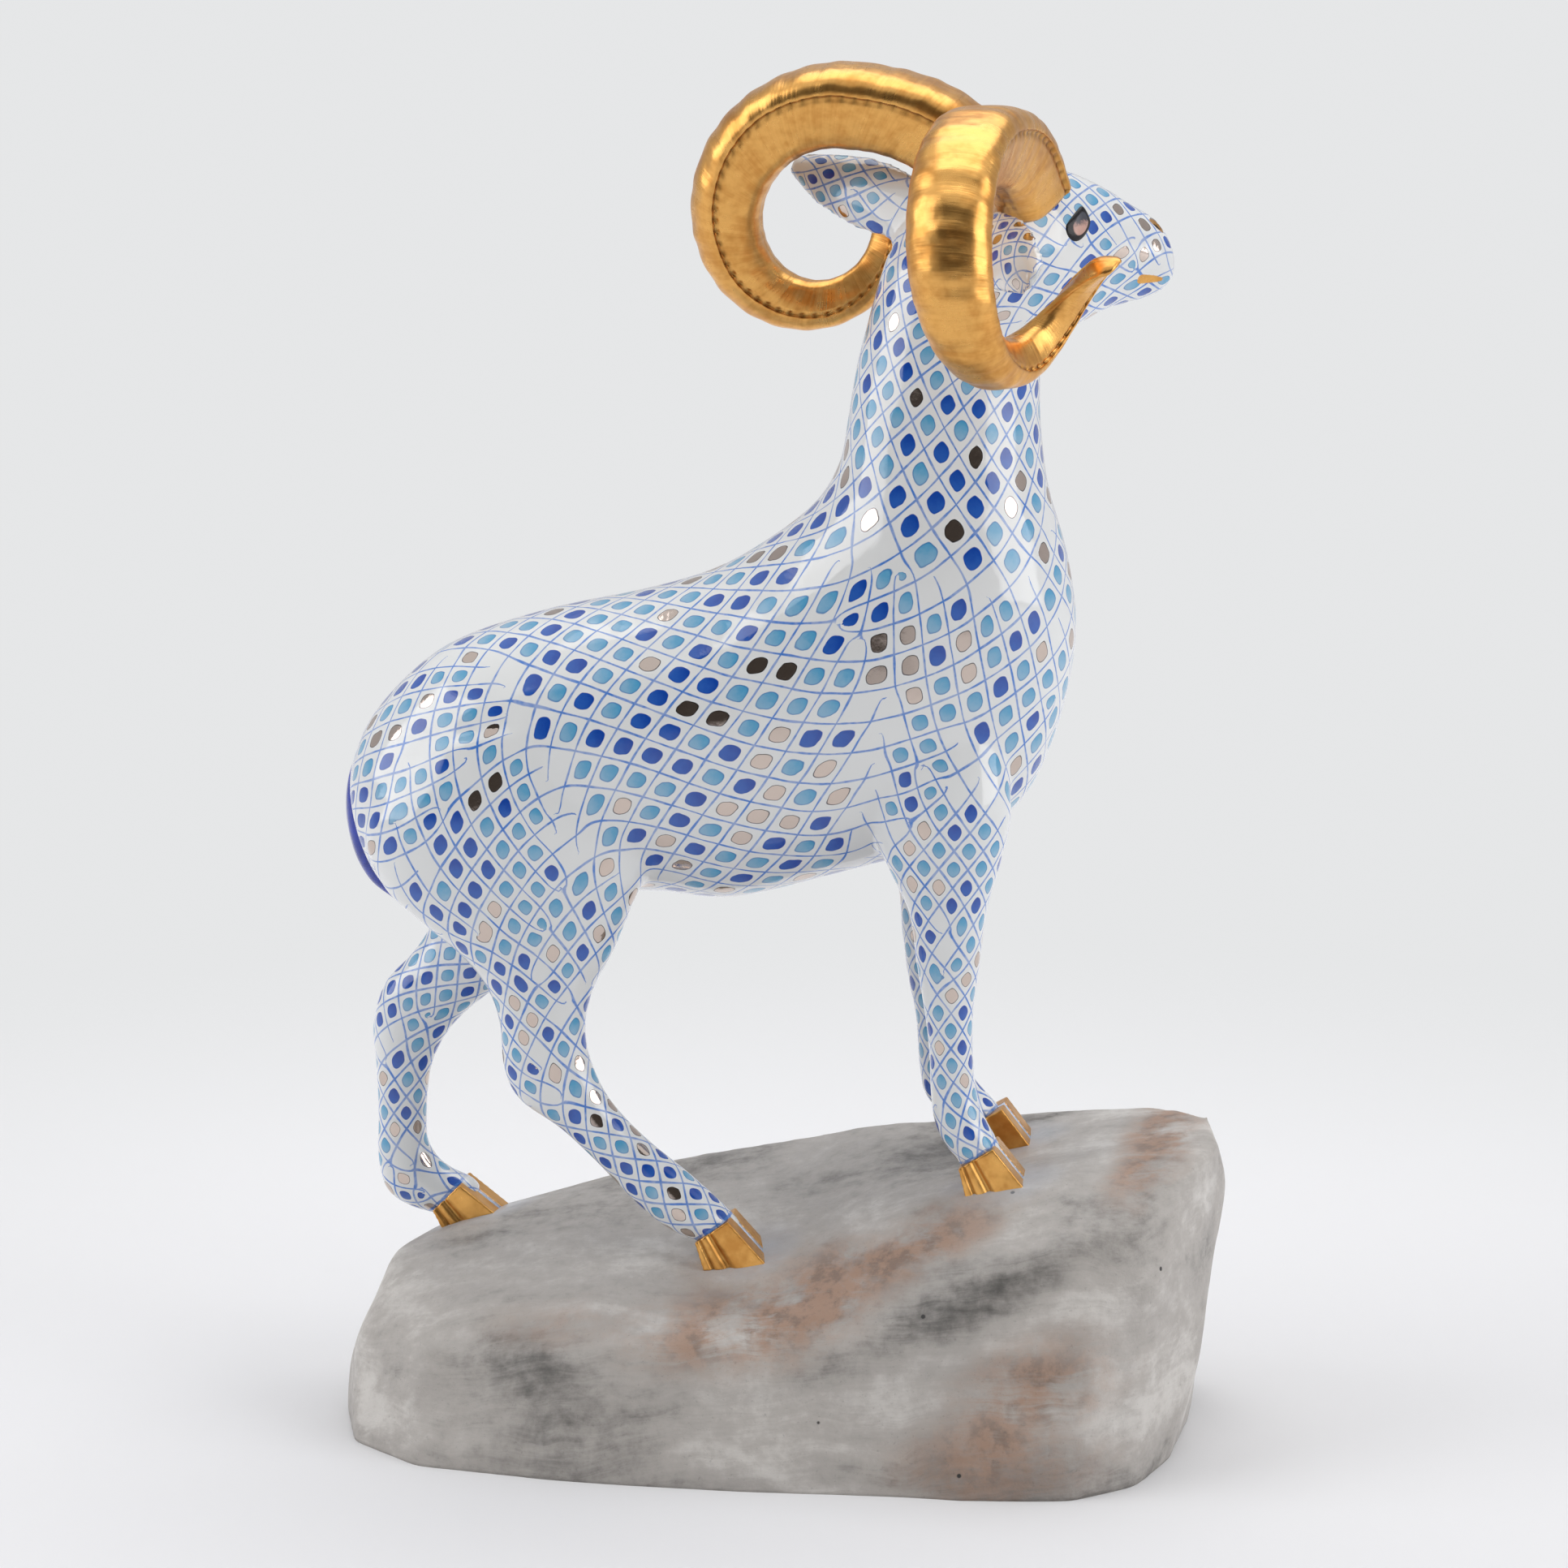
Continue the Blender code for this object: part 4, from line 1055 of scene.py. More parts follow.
def rock_material(settings):
    """Softly clouded grey paint, brushed along the rock, with brown and dark clouds and fine specks, and
    painted highlights and painted shade among the pale and dark clouds.
    """
    material, sockets, nodes, place = new_material("marbled_rock_paint", IOR=1.5)
    swirl = nodes.noise(place, 30.0, 3.0, 0.55, colour=True)
    swirl = nodes.vector("SCALE", nodes.vector("SUBTRACT", swirl, (0.5, 0.5, 0.5)), scale=0.011)
    moved = nodes.vector("ADD", place, swirl)
    slanted = nodes.add("ShaderNodeMapping", {
        "Vector": moved, "Rotation": (0.0, math.radians(20.0), 0.0), "Scale": (0.42, 1.0, 1.25)}).outputs[0]
    clouds = nodes.noise(slanted, 46.0, 6.0, 0.58, 0.3)
    brushed = nodes.add("ShaderNodeMapping", {"Vector": slanted, "Scale": (0.3, 0.8, 2.4)}).outputs[0]
    streaks = nodes.noise(brushed, 210.0, 5.0, 0.7, 1.2)
    mottle = nodes.noise(place, 330.0, 4.0, 0.65)
    shade = nodes.times_plus(clouds, 1.05, 0.075)
    shade = nodes.times_plus(nodes.minus(streaks, 0.5), 0.24, shade)
    shade = nodes.times_plus(nodes.minus(mottle, 0.5), 0.32, shade)
    # Pale clouds, partly painted highlights, and dark clouds, partly painted shade
    for rows, strength in ((PALE_CLOUDS_AND_HIGHLIGHTS, 0.12), (DARK_CLOUDS_AND_SHADE, -0.17)):
        shade = nodes.times_plus(cloud_cover(nodes, moved, rows), strength, shade)
    colour = nodes.mix(nodes.ramp(shade, 0.63, 0.22), settings.middle, settings.dark)
    colour = nodes.mix(nodes.ramp(shade, 0.60, 0.82), colour, settings.pale)
    patchy = nodes.ramp(nodes.times_plus(streaks, 0.5, nodes.noise(moved, 90.0, 5.0, 0.6)), 0.52, 0.86)
    brown = nodes.times(cloud_cover(nodes, moved, BROWN_CLOUDS), patchy, clamp=True)
    brown_paint = nodes.mix(nodes.ramp(mottle, 0.42, 0.64), settings.brown, darker(settings.brown, 0.55))
    colour = nodes.mix(nodes.times(brown, 0.84), colour, brown_paint)
    specks = nodes.ramp(nodes.noise(place, 1500.0, 2.0, 0.7), 0.62, 0.74)
    colour = nodes.mix(nodes.times(specks, 0.2), colour, (0.05, 0.05, 0.055))
    dots = nodes.add("ShaderNodeTexVoronoi", {"Vector": place, "Scale": 95.0, "Randomness": 1.0})
    colour = nodes.mix(nodes.ramp(dots.outputs["Distance"], 0.05, 0.03), colour, (0.03, 0.028, 0.028))
    halo = nodes.mark("hoof_halo")
    ridges = nodes.bump(nodes.noise(place, 48.0, 2.0, 0.5), 0.008, 0.5)
    soft = nodes.bump(nodes.noise(place, 160.0, 5.0, 0.6), 0.0006, 0.5, ridges)
    nodes.fill(sockets, {
        "Base Color": nodes.mix(nodes.times(halo, 0.55), colour, HALO_BLUE),
        "Roughness": nodes.ramp(mottle, 0.3, 0.7, 0.58, 0.44),
        "Coat Weight": nodes.times(halo, 0.5),
        "Normal": nodes.bump(nodes.noise(place, 1300.0, 2.0, 0.6), 0.00012, 0.45, soft)})
    return material


def cloud_cover(nodes, place, rows):
    """Strength of soft tilted patches, each a column through the rock from its near side."""
    cover = 0.0
    for x, z, half_x, half_z, tilt, strength in rows:
        centred = nodes.add("ShaderNodeMapping", {
            "Vector": place, "Location": (x * MM, 0.0, z * MM), "Rotation": (0.0, math.radians(-tilt), 0.0),
            "Scale": (half_x * MM, 0.2, half_z * MM)}, vector_type="TEXTURE").outputs[0]
        cover = nodes.times_plus(nodes.ramp(nodes.vector("LENGTH", centred), 1.6, 0.2), strength, cover)
    return cover


def sweep_material(settings):
    """Pale floor and sweep, shaded round the figurine and at its own even colour further off, with painted
    shade behind the camera.
    """
    material, sockets, nodes, place = new_material("studio_sweep", Roughness=0.9)
    parts = nodes.add("ShaderNodeSeparateXYZ", {0: place}).outputs
    drift = nodes.noise(place, 2.2, 2.0, 0.5)
    floor = nodes.mix(drift, settings.floor, darker(settings.floor, 0.98))
    # Painted shade: the sweep behind the camera is coloured dark to stand for the studio's unlit side, which
    # gives the gold its darker reflections
    dim = nodes.times(nodes.ramp(parts[1], -0.9, -1.7), nodes.ramp(parts[2], 0.1, 0.5))
    nodes.fill(sockets, {
        "Base Color": nodes.mix(dim, floor, settings.painted_shade_side),
        "Normal": nodes.bump(nodes.noise(place, 900.0, 2.0), 0.0002, 0.1)})
    even = nodes.add("ShaderNodeEmission", {"Color": settings.backdrop, "Strength": 1.0})
    rays = nodes.add("ShaderNodeLightPath").outputs
    far = nodes.times(nodes.ramp(nodes.vector("LENGTH", place), 0.14, 0.42), rays["Is Camera Ray"])
    made = material.node_tree.nodes
    painted = made["Principled BSDF"].outputs[0]
    mixed = nodes.add("ShaderNodeMixShader", {0: far, 1: painted, 2: even.outputs[0]})
    nodes.fill(made["Material Output"].inputs, {"Surface": mixed.outputs[0]})
    return material


def thin_glaze_material():
    """Pale blue glaze that fills the gap between two claws."""
    material, sockets, nodes, place = new_material(
        "thin_blue_glaze", IOR=1.5, Coat_Roughness=0.03, Coat_Weight=0.6)
    glaze = nodes.glaze(place, 0.006)
    nodes.fill(sockets, {
        "Base Color": nodes.mix(glaze["Tint"], WEB_PALE, WEB_BLUE),
        "Roughness": glaze["Roughness"],
        "Normal": nodes.bump(glaze["Height"], 0.0005, 0.5)})
    return material


# Pieces


class RAM_OT_shape_skin(bpy.types.Operator):
    """Make the ram's trunk, neck, head, ears and legs as one painted porcelain skin"""

    bl_idname = "ram_figurine.shape_skin"
    bl_label = "Shape the Skin"

    def execute(self, context):
        settings = context.scene.ram_skin
        bm = bmesh.new()
        loft(bm, rounded_ends(side_discs(TRUNK, 0.0), TRUNK_END_ROUND * MM), sides=56)
        loft(bm, rounded_ends(head_discs(), HEAD_END_ROUND * MM), sides=48)
        for side in (-1, 1):
            loft(bm, rounded_ends(ear_discs(side), LEAF_END_ROUND * MM), sides=32)
        for rows, middle in leg_tables():
            loft(bm, rounded_ends(side_discs(rows, middle), LEG_END_ROUND * MM))
        skin = new_object("painted_skin", bm)
        run_together(skin, settings.grain, passes=15)
        model_face(skin.data)
        write_mark(skin.data, "coronet_line", coronet_line(mesh_points(skin.data)))
        lay_trellis(skin.data, settings)
        show_piece(skin, porcelain_material(settings, context.scene.ram_gilding))
        return {"FINISHED"}


def coronet_line(points):
    """Nearness to the line where each hoof's top edge crosses the skin."""
    near = numpy.zeros(len(points))
    rise = (HOOF_FRONT_HEIGHT - HOOF_HEEL_HEIGHT) / (HOOF_FRONT_PLACE + HOOF_LENGTH / 2 + HOOF_HEEL_LEAN)
    for place in hoof_matrices():
        x, y, z = (moved_points(points, place.inverted()) / MM).T
        above = z - HOOF_HEEL_HEIGHT - rise * (x + HOOF_LENGTH / 2 + HOOF_HEEL_LEAN)
        close = (numpy.abs(x) < 9.0) & (numpy.abs(y) < 7.0)
        apart = numpy.abs(above - CORONET_RISE) / CORONET_HALF_WIDTH
        near = numpy.maximum(near, numpy.clip(1.0 - apart, 0.0, 1.0) * close)
    return near


def model_face(mesh):
    """Sink the ear hollows, nostrils and mouth, mark what is gilded, and mark the painted shade in the ear
    hollows and the nostril pits.
    """
    points = mesh_points(mesh)
    normals = mesh_points(mesh, "normal")
    local = moved_points(points, head_matrix().inverted()) / MM
    hollow = numpy.zeros(len(points))
    gold = numpy.zeros(len(points))
    dark = numpy.zeros(len(points))
    sink = numpy.zeros(len(points))
    lift = numpy.zeros_like(points)
    for side in (-1, 1):
        rings = ear_discs(side)
        shares = numpy.array([moved_points(points, ring.inverted()) for ring in rings[4:LEAF_RINGS - 1]])
        nearest = numpy.abs(shares[:, :, 2]).argmin(0)
        place = shares[nearest, numpy.arange(len(points))]
        opening = numpy.array((rings[0].to_3x3() @ Vector((0.0, 1.0, 0.0))).normalized())
        reach = (numpy.abs(place[:, 0]) / EAR_INSIDE) ** 2
        middle = numpy.clip(1.0 - reach, 0.0, 1.0) ** 0.7
        ends = numpy.clip(nearest / 4, 0, 1) * numpy.clip((LEAF_RINGS - 6 - nearest) / 4, 0, 1)
        beside = (numpy.abs(place) < (1.4, 2.2, 1.0)).all(1)
        toward = normals @ opening
        inner = middle * ends * numpy.clip(toward * 3.0, 0.0, 1.0) * beside
        shown = inner
        if side < 0:
            # The near ear's inside, grey with painted shade, is also painted round its tip
            shown = middle * numpy.clip(nearest / 4, 0, 1) * beside
            shown *= numpy.clip((toward + EAR_REVEAL) * 3.0, 0.0, 1.0)
        sink += EAR_SINK * inner
        curl = numpy.clip(numpy.abs(place[:, 0]), 0.0, 1.1) ** 2 * numpy.clip(nearest / 8, 0, 1) * beside
        lift += opening * (EAR_CURL * curl)[:, None]
        hollow = numpy.maximum(hollow, numpy.clip(shown * 3.0, 0.0, 1.0))
        corner = line_distance(local, [(x, side * y, z) for x, y, z in NOSTRIL])[0]
        sink += NOSTRIL_DEPTH * numpy.exp(-(corner / 0.75) ** 2)
        gold = numpy.maximum(gold, numpy.clip(1.5 - corner / 1.1, 0.0, 1.0))
        # Painted shade fills the pit of each nostril
        dark = numpy.maximum(dark, numpy.clip(1.5 - corner / 0.5, 0.0, 1.0))
        mouth, along = line_distance(local, [(x, side * y, z) for x, y, z in MOUTH])
        sink += MOUTH_DEPTH * numpy.exp(-(mouth / 0.6) ** 2)
        reach = numpy.clip(0.95 - along * 0.05, 0.5, 1.0)
        gold = numpy.maximum(gold, numpy.clip(1.5 - mouth / reach, 0.0, 1.0))
    write_points(mesh, points + lift * MM - normals * (sink * MM)[:, None])
    write_mark(mesh, "ear_hollow", hollow)
    write_mark(mesh, "gold_line", gold)
    write_mark(mesh, "nostril_dark", dark)


class RAM_OT_curl_horns(bpy.types.Operator):
    """Curl the two gilded horns, with ribs across them and a notched line beside the keel"""

    bl_idname = "ram_figurine.curl_horns"
    bl_label = "Curl the Horns"

    def execute(self, context):
        settings = context.scene.ram_gilding
        material = gold_material(settings)
        for side, name in ((1, "left_horn"), (-1, "right_horn")):
            show_piece(make_horn(name, side, settings), material)
        return {"FINISHED"}


def horn_outline():
    """Keeled section: a domed outer face, two keels, slightly hollow sides and a narrow inner edge."""
    half = smooth_rows(HORN_OUTER, 3)[:-1] + smooth_rows(HORN_INNER, 4)[:-1]
    return half + [[x, -y] for x, y in reversed(half[1:])]


def horn_disc(angle, thick, wide, inset, side):
    """Placement of the horn's section at an angle in degrees round its spiral."""
    size = MM if side > 0 else MM * RIGHT_HORN_SIZE
    bend = math.radians(angle - HORN_PHASE)
    radius = HORN_RADIUS * math.exp(-HORN_SHRINK * bend)
    out = Vector((math.cos(math.radians(angle)), 0.0, math.sin(math.radians(angle))))
    spread = HORN_ENTRY * bend + HORN_SPREAD * bend * bend
    centre = out * (radius - inset) + Vector((0.0, spread, 0.0))
    local = disc_matrix(centre * size, out * (thick / 2 * size), Vector((0.0, wide / 2 * size, 0.0)))
    turn = Matrix.Rotation(math.radians(HORN_YAW), 4, "Z") @ Matrix.Rotation(math.radians(HORN_ROLL), 4, "X")
    placed = Matrix.Translation(Vector(HORN_CENTRE) * MM) @ turn @ local
    mirror = Matrix.Diagonal((1.0, side, 1.0, 1.0))
    return head_matrix() @ mirror @ placed


def row_at(rows, value):
    """The table row at a value of its first column, on a smooth curve between rows."""
    for index, (start, end) in enumerate(zip(rows, rows[1:])):
        if value <= end[0]:
            break
    t = (value - start[0]) / (end[0] - start[0])
    before = rows[max(index - 1, 0)]
    after = rows[min(index + 2, len(rows) - 1)]
    made = [catmull_rom(values, t) for values in zip(before, start, end, after)]
    return [value] + made[1:]


def keel_at(angle):
    return numpy.interp(angle, [row[0] for row in KEEL_ROWS], [row[1] for row in KEEL_ROWS])


def make_horn(name, side, settings):
    discs = []
    travelled = []
    angles = []
    first = HORN_SECTIONS[0][0]
    last = HORN_SECTIONS[-1][0]
    for ring in range(HORN_RINGS + 1):
        angle = first + (last - first) * ring / HORN_RINGS
        angle, thick, wide, inset = row_at(HORN_SECTIONS, angle)
        disc = horn_disc(angle, thick * HORN_FIT, wide * HORN_FIT, inset, side)
        step = (disc.translation - discs[-1].translation).length if discs else 0.0
        travelled.append((travelled[-1] if travelled else 0.0) + step)
        angles.append(angle)
        discs.append(disc)
    extra = len(END_ROUND_ANGLES)
    discs = rounded_ends(discs, HORN_END_ROUND * MM)
    travelled = [0.0] * extra + travelled + [travelled[-1]] * extra
    angles = [first] * extra + angles + [last] * extra
    outline = horn_outline()
    bm = bmesh.new()
    loft(bm, discs, outline=outline)
    bm.normal_update()
    around = bm.verts.layers.float["around"]
    along = bm.verts.layers.float["along"]
    reach = travelled[-1]
    shade = bm.verts.layers.float.new("keel_shade")
    moves = []
    for vert in bm.verts:
        x, y = outline[int(round(vert[around]))]
        ring = int(round(vert[along]))
        gone = travelled[ring]
        vert[along] = gone
        toward_crest = (x - KEEL_PLACE) / (1 - KEEL_PLACE if x > KEEL_PLACE else 1 + KEEL_PLACE)
        slide = (keel_at(angles[ring]) - KEEL_PLACE) * (1 - toward_crest * toward_crest)
        vert.co += discs[ring].col[0].xyz * slide
        fade = min(1.0, max(0.0, reach - gone) / (0.35 * reach)) ** 0.7
        dome = max(0.0, toward_crest)
        beat = noise.noise(Vector((gone * 180, side * 3.0, 0.0)))
        rib = math.sin(2 * math.pi * (gone / settings.rib_pitch + 0.35 * beat))
        lift = settings.rib_height * rib * (0.35 + 0.65 * dome) * fade * (0.6 + 0.5 * beat)
        to_keel = abs(x - KEEL_PLACE + 0.07) / 0.075
        notch = 0.45 + 0.55 * (0.5 + 0.5 * math.cos(2 * math.pi * gone / settings.notch_pitch)) ** 2
        groove = notch * math.exp(-to_keel * to_keel) * min(1.0, (reach - gone) / (0.1 * reach) + 0.1)
        lift -= settings.notch_depth * groove
        # Painted shade darkens the notched line, strongest in each notch
        vert[shade] = groove ** 1.5
        moves.append((vert, vert.normal * lift))
    for vert, move in moves:
        vert.co += move
    return new_object(name, bm)


class RAM_OT_set_hooves(bpy.types.Operator):
    """Set a pair of gilded claws under each leg, with pale blue glaze in the gap between them"""

    bl_idname = "ram_figurine.set_hooves"
    bl_label = "Set the Hooves"

    def execute(self, context):
        claw = make_claw()
        web = make_web()
        hooves = bmesh.new()
        webs = bmesh.new()
        for place in hoof_matrices():
            for side in (-1, 1):
                add_copy(hooves, claw, place @ Matrix.Diagonal((1.0, side, 1.0, 1.0)))
            add_copy(webs, web, place)
        for cutter in (claw, web):
            bpy.data.objects.remove(cutter, do_unlink=True)
        show_piece(new_object("gilded_hooves", hooves), gold_material(context.scene.ram_gilding))
        show_piece(new_object("hoof_glaze", webs), thin_glaze_material())
        return {"FINISHED"}


def hoof_matrices():
    """Where each sole's middle stands, leaning part of the way with the rock under it."""
    tree = surface_tree("painted_rock")
    places = []
    for x, y, lean in HOOF_PLACES:
        front, heel = (rock_height(tree, x + reach, y) for reach in (HOOF_LENGTH / 2, -HOOF_LENGTH / 2))
        slope = math.atan2(front - heel, HOOF_LENGTH * MM) * lean
        sole = Vector((x * MM, y * MM, (front + heel) / 2))
        places.append(Matrix.Translation(sole) @ Matrix.Rotation(-slope, 4, "Y"))
    return places


def add_copy(bm, item, place):
    old = set(bm.verts)
    bm.from_mesh(item.data)
    fresh = [vert for vert in bm.verts if vert not in old]
    bmesh.ops.transform(bm, matrix=place, verts=fresh)
    bmesh.ops.recalc_face_normals(bm, faces=bm.faces)


def claw_block(inner, outer, trim):
    """A wedge from one place across the hoof to another, with its side outline trimmed by a margin."""
    half = HOOF_LENGTH / 2
    toe = half + (HOOF_SINK + HOOF_TOE_HEIGHT) * (
        half - HOOF_FRONT_PLACE) / (HOOF_FRONT_HEIGHT - HOOF_TOE_HEIGHT)
    outline = (
        (-half + trim, -HOOF_SINK), (toe - trim, -HOOF_SINK),
        (HOOF_FRONT_PLACE - trim, HOOF_FRONT_HEIGHT - trim),
        (-half - HOOF_HEEL_LEAN + trim, HOOF_HEEL_HEIGHT - trim),
    )
    bm = bmesh.new()
    face = bm.faces.new([bm.verts.new((x * MM, inner * MM, z * MM)) for x, z in outline])
    grown = bmesh.ops.extrude_face_region(bm, geom=[face])["geom"]
    far = [item for item in grown if isinstance(item, bmesh.types.BMVert)]
    bmesh.ops.translate(bm, verts=far, vec=(0.0, (outer - inner) * MM, 0.0))
    bmesh.ops.recalc_face_normals(bm, faces=bm.faces)
    return bm


def make_claw():
    """One claw with a narrow rib at its heel and a shallow groove down its wall."""
    bm = claw_block(HOOF_GAP / 2, HOOF_WALL, 0.0)
    bmesh.ops.subdivide_edges(bm, edges=bm.edges[:], cuts=6, use_grid_fill=True)
    claw = new_object("claw", bm)
    run_together(claw, HOOF_GRAIN * MM, passes=3)
    points = mesh_points(claw.data) / MM
    x, y, z = points.T
    half = HOOF_LENGTH / 2
    heel = -half - HOOF_HEEL_LEAN * z / HOOF_HEEL_HEIGHT
    toe = half + (HOOF_FRONT_PLACE - half) * z / HOOF_FRONT_HEIGHT
    along = (x - heel) / (toe - heel)
    wall = numpy.clip((y - HOOF_GAP / 2) / (HOOF_WALL - HOOF_GAP / 2), 0.0, 1.0) ** 2
    rib, hollow = (
        numpy.exp(-((along - middle) / width) ** 2) for middle, width, depth in (HEEL_GROOVE, WALL_GROOVE))
    groove = HEEL_GROOVE[2] * rib + WALL_GROOVE[2] * hollow
    draw_in = HOOF_DRAW_IN * HOOF_WALL * numpy.clip(along, 0.0, 1.0) ** 2.2
    points[:, 1] -= wall * (groove + draw_in)
    write_points(claw.data, points * MM)
    # Painted shade darkens the grooves at the heel and down the wall
    write_mark(claw.data, "keel_shade", numpy.clip(0.75 * rib + 0.35 * hollow, 0.0, 1.0))
    return claw


def make_web():
    """The glaze between two claws: it reaches into both and stops just short of their outline."""
    return new_object("web", claw_block(-HOOF_GAP / 2 - WEB_REACH, HOOF_GAP / 2 + WEB_REACH, WEB_TRIM))


def surface_tree(name):
    """A finished piece's surface, to find points on."""
    item = bpy.data.objects.get(name)
    if item is None:
        raise RuntimeError(f"The {name} has to be made before what stands or lies on it")
    return BVHTree.FromPolygons(
        [vert.co for vert in item.data.vertices], [polygon.vertices for polygon in item.data.polygons])


def rock_height(tree, x, y):
    """Height of the rock's top under a point, in metres."""
    above = Vector((x + CENTRE_SHIFT[0], y + CENTRE_SHIFT[1], 0.0)) * MM
    above.z = 1.0
    return tree.ray_cast(above, Vector((0.0, 0.0, -1.0)))[0].z


class RAM_OT_hang_tail(bpy.types.Operator):
    """Lay the cobalt tail down the rump"""

    bl_idname = "ram_figurine.hang_tail"
    bl_label = "Hang the Tail"

    def execute(self, context):
        bm = bmesh.new()
        loft(bm, rounded_ends(side_discs(TAIL, 0.0), LEAF_END_ROUND * MM), sides=SECTION_SIDES)
        show_piece(new_object("cobalt_tail", bm), cobalt_material(context.scene.ram_tail_and_eyes))
        return {"FINISHED"}


class RAM_OT_set_eyes(bpy.types.Operator):
    """Set a painted eye in each side of the head"""

    bl_idname = "ram_figurine.set_eyes"
    bl_label = "Set the Eyes"

    def execute(self, context):
        tree = surface_tree("painted_skin")
        shift = Matrix.Translation(Vector(CENTRE_SHIFT) * MM)
        bm = bmesh.new()
        height = bm.verts.layers.float.new("eye_height")
        edge = bm.verts.layers.float.new("eye_edge")
        for side in (-1, 1):
            made = bmesh.ops.create_uvsphere(bm, u_segments=48, v_segments=32, radius=1.0)
            for vert in made["verts"]:
                across, up, out = vert.co
                vert[height] = up
                vert[edge] = math.hypot(across, up)
                # A drop with its point up and forward, laid on the skin as a low dome
                taper = 1.0 - 0.5 * max(0.0, up)
                corner = 0.3 * max(0.0, -across) ** 3
                x = EYE[0] + EYE_RADIUS * ((1.15 * across - corner) * taper + 0.52 * up)
                z = EYE[2] + EYE_RADIUS * (1.22 * up + 0.25 * corner)
                start = shift @ head_point(x, side * 20.0, z)
                toward = (shift @ head_point(x, 0.0, z) - start).normalized()
                hit, normal = tree.ray_cast(start, toward)[:2]
                vert.co = shift.inverted() @ (hit + normal * (EYE_DOME * out * MM))
        bmesh.ops.recalc_face_normals(bm, faces=bm.faces)
        show_piece(new_object("painted_eyes", bm), eye_material(context.scene.ram_tail_and_eyes))
        return {"FINISHED"}


class RAM_OT_carve_rock(bpy.types.Operator):
    """Carve the rock with its hollows, foot rim and vent"""

    bl_idname = "ram_figurine.carve_rock"
    bl_label = "Carve the Rock"

    def execute(self, context):
        settings = context.scene.ram_rock
        bm = bmesh.new()
        for x, y in ROCK_FOOT:
            bm.verts.new(Vector((x, y, -ROCK_EDGE_RADIUS)) * MM)
            bm.verts.new(Vector((x, y, ROCK_EDGE_RADIUS)) * MM)
        for row in ROCK_GIRTH + ROCK_TOP:
            bm.verts.new(rock_point(row))
        hull = bmesh.ops.convex_hull(bm, input=bm.verts)
        spare = hull["geom_interior"] + hull["geom_unused"]
        corners = {item for item in spare if isinstance(item, bmesh.types.BMVert)}
        bmesh.ops.delete(bm, geom=list(corners), context="VERTS")
        rock = new_object("painted_rock", bm)
        run_together(rock, settings.grain, passes=22)
        beat_hollows(rock.data, settings.waves)
        cut_foot(rock)
        mark_halo(rock.data)
        show_piece(rock, rock_material(settings))
        return {"FINISHED"}


def rock_point(row):
    x, y, depth = row
    return Vector((x, y, ROCK_HEIGHT - depth)) * MM


def beat_hollows(mesh, waves):
    """Push the rock's surface in, or out where the depth is negative, and roughen it slightly."""
    points = mesh_points(mesh)
    normals = mesh_points(mesh, "normal")
    shift = numpy.zeros(len(points))
    for x, y, below, radius, depth in ROCK_HOLLOWS:
        apart = numpy.linalg.norm(points - numpy.array(rock_point((x, y, below))), axis=1) / (radius * MM)
        shift += depth * MM * numpy.exp(-apart * apart)
    rough = [noise.fractal(Vector(point) * 55.0, 1.0, 2.0, 3) for point in points]
    shift += waves * 0.6 * (numpy.array(rough) + 0.55)
    write_points(mesh, points - normals * shift[:, None])


def cut_foot(rock):
    """Cut the rock flat at its foot, then sink a recess and a vent inside the foot rim."""
    bm = bmesh.new()
    bm.from_mesh(rock.data)
    everything = bm.verts[:] + bm.edges[:] + bm.faces[:]
    cut = bmesh.ops.bisect_plane(
        bm, geom=everything, plane_co=(0, 0, 0), plane_no=(0, 0, -1), clear_outer=True)
    rim = [item for item in cut["geom_cut"] if isinstance(item, bmesh.types.BMEdge)]
    bmesh.ops.contextual_create(bm, geom=rim)
    bmesh.ops.recalc_face_normals(bm, faces=bm.faces)
    bm.to_mesh(rock.data)
    bm.free()
    for cutter in (make_recess(), make_vent()):
        modifier = rock.modifiers.new("Sink", "BOOLEAN")
        modifier.operation = "DIFFERENCE"
        modifier.object = cutter
        settle(rock)
        bpy.data.objects.remove(cutter, do_unlink=True)


def make_recess():
    """A shallow block that follows the foot's outline inside its rim."""
    bm = bmesh.new()
    foot = bm.faces.new([bm.verts.new(Vector((x, y, -FOOT_RECESS)) * MM) for x, y in ROCK_FOOT])
    bm.normal_update()
    rim = bmesh.ops.inset_region(
        bm, faces=[foot], thickness=FOOT_RIM_WIDTH * MM, use_boundary=True, use_even_offset=True)["faces"]
    bmesh.ops.delete(bm, geom=rim, context="FACES")
    grown = bmesh.ops.extrude_face_region(bm, geom=bm.faces[:])["geom"]
    lid = [item for item in grown if isinstance(item, bmesh.types.BMVert)]
    bmesh.ops.translate(bm, verts=lid, vec=(0.0, 0.0, 2 * FOOT_RECESS * MM))
    bmesh.ops.recalc_face_normals(bm, faces=bm.faces)
    return new_object("recess", bm)


def make_vent():
    bm = bmesh.new()
    bmesh.ops.create_cone(
        bm, cap_ends=True, segments=48, radius1=VENT_RADIUS * MM, radius2=VENT_RADIUS * MM,
        depth=VENT_DEPTH * MM, matrix=Matrix.Translation((0.0, 0.0, VENT_DEPTH / 2 * MM)))
    return new_object("vent", bm)


def mark_halo(mesh):
    """Mark the glaze that ran onto the rock round each hoof."""
    points = mesh_points(mesh) / MM
    halo = numpy.zeros(len(points))
    for x, y, lean in HOOF_PLACES:
        apart = numpy.hypot((points[:, 0] - x - 1.0) / HALO_LENGTH, (points[:, 1] - y) / HALO_WIDTH)
        halo = numpy.maximum(halo, numpy.clip(1.5 - apart, 0.0, 1.0) * (points[:, 2] > HALO_LEAST_HEIGHT))
    write_mark(mesh, "hoof_halo", halo)


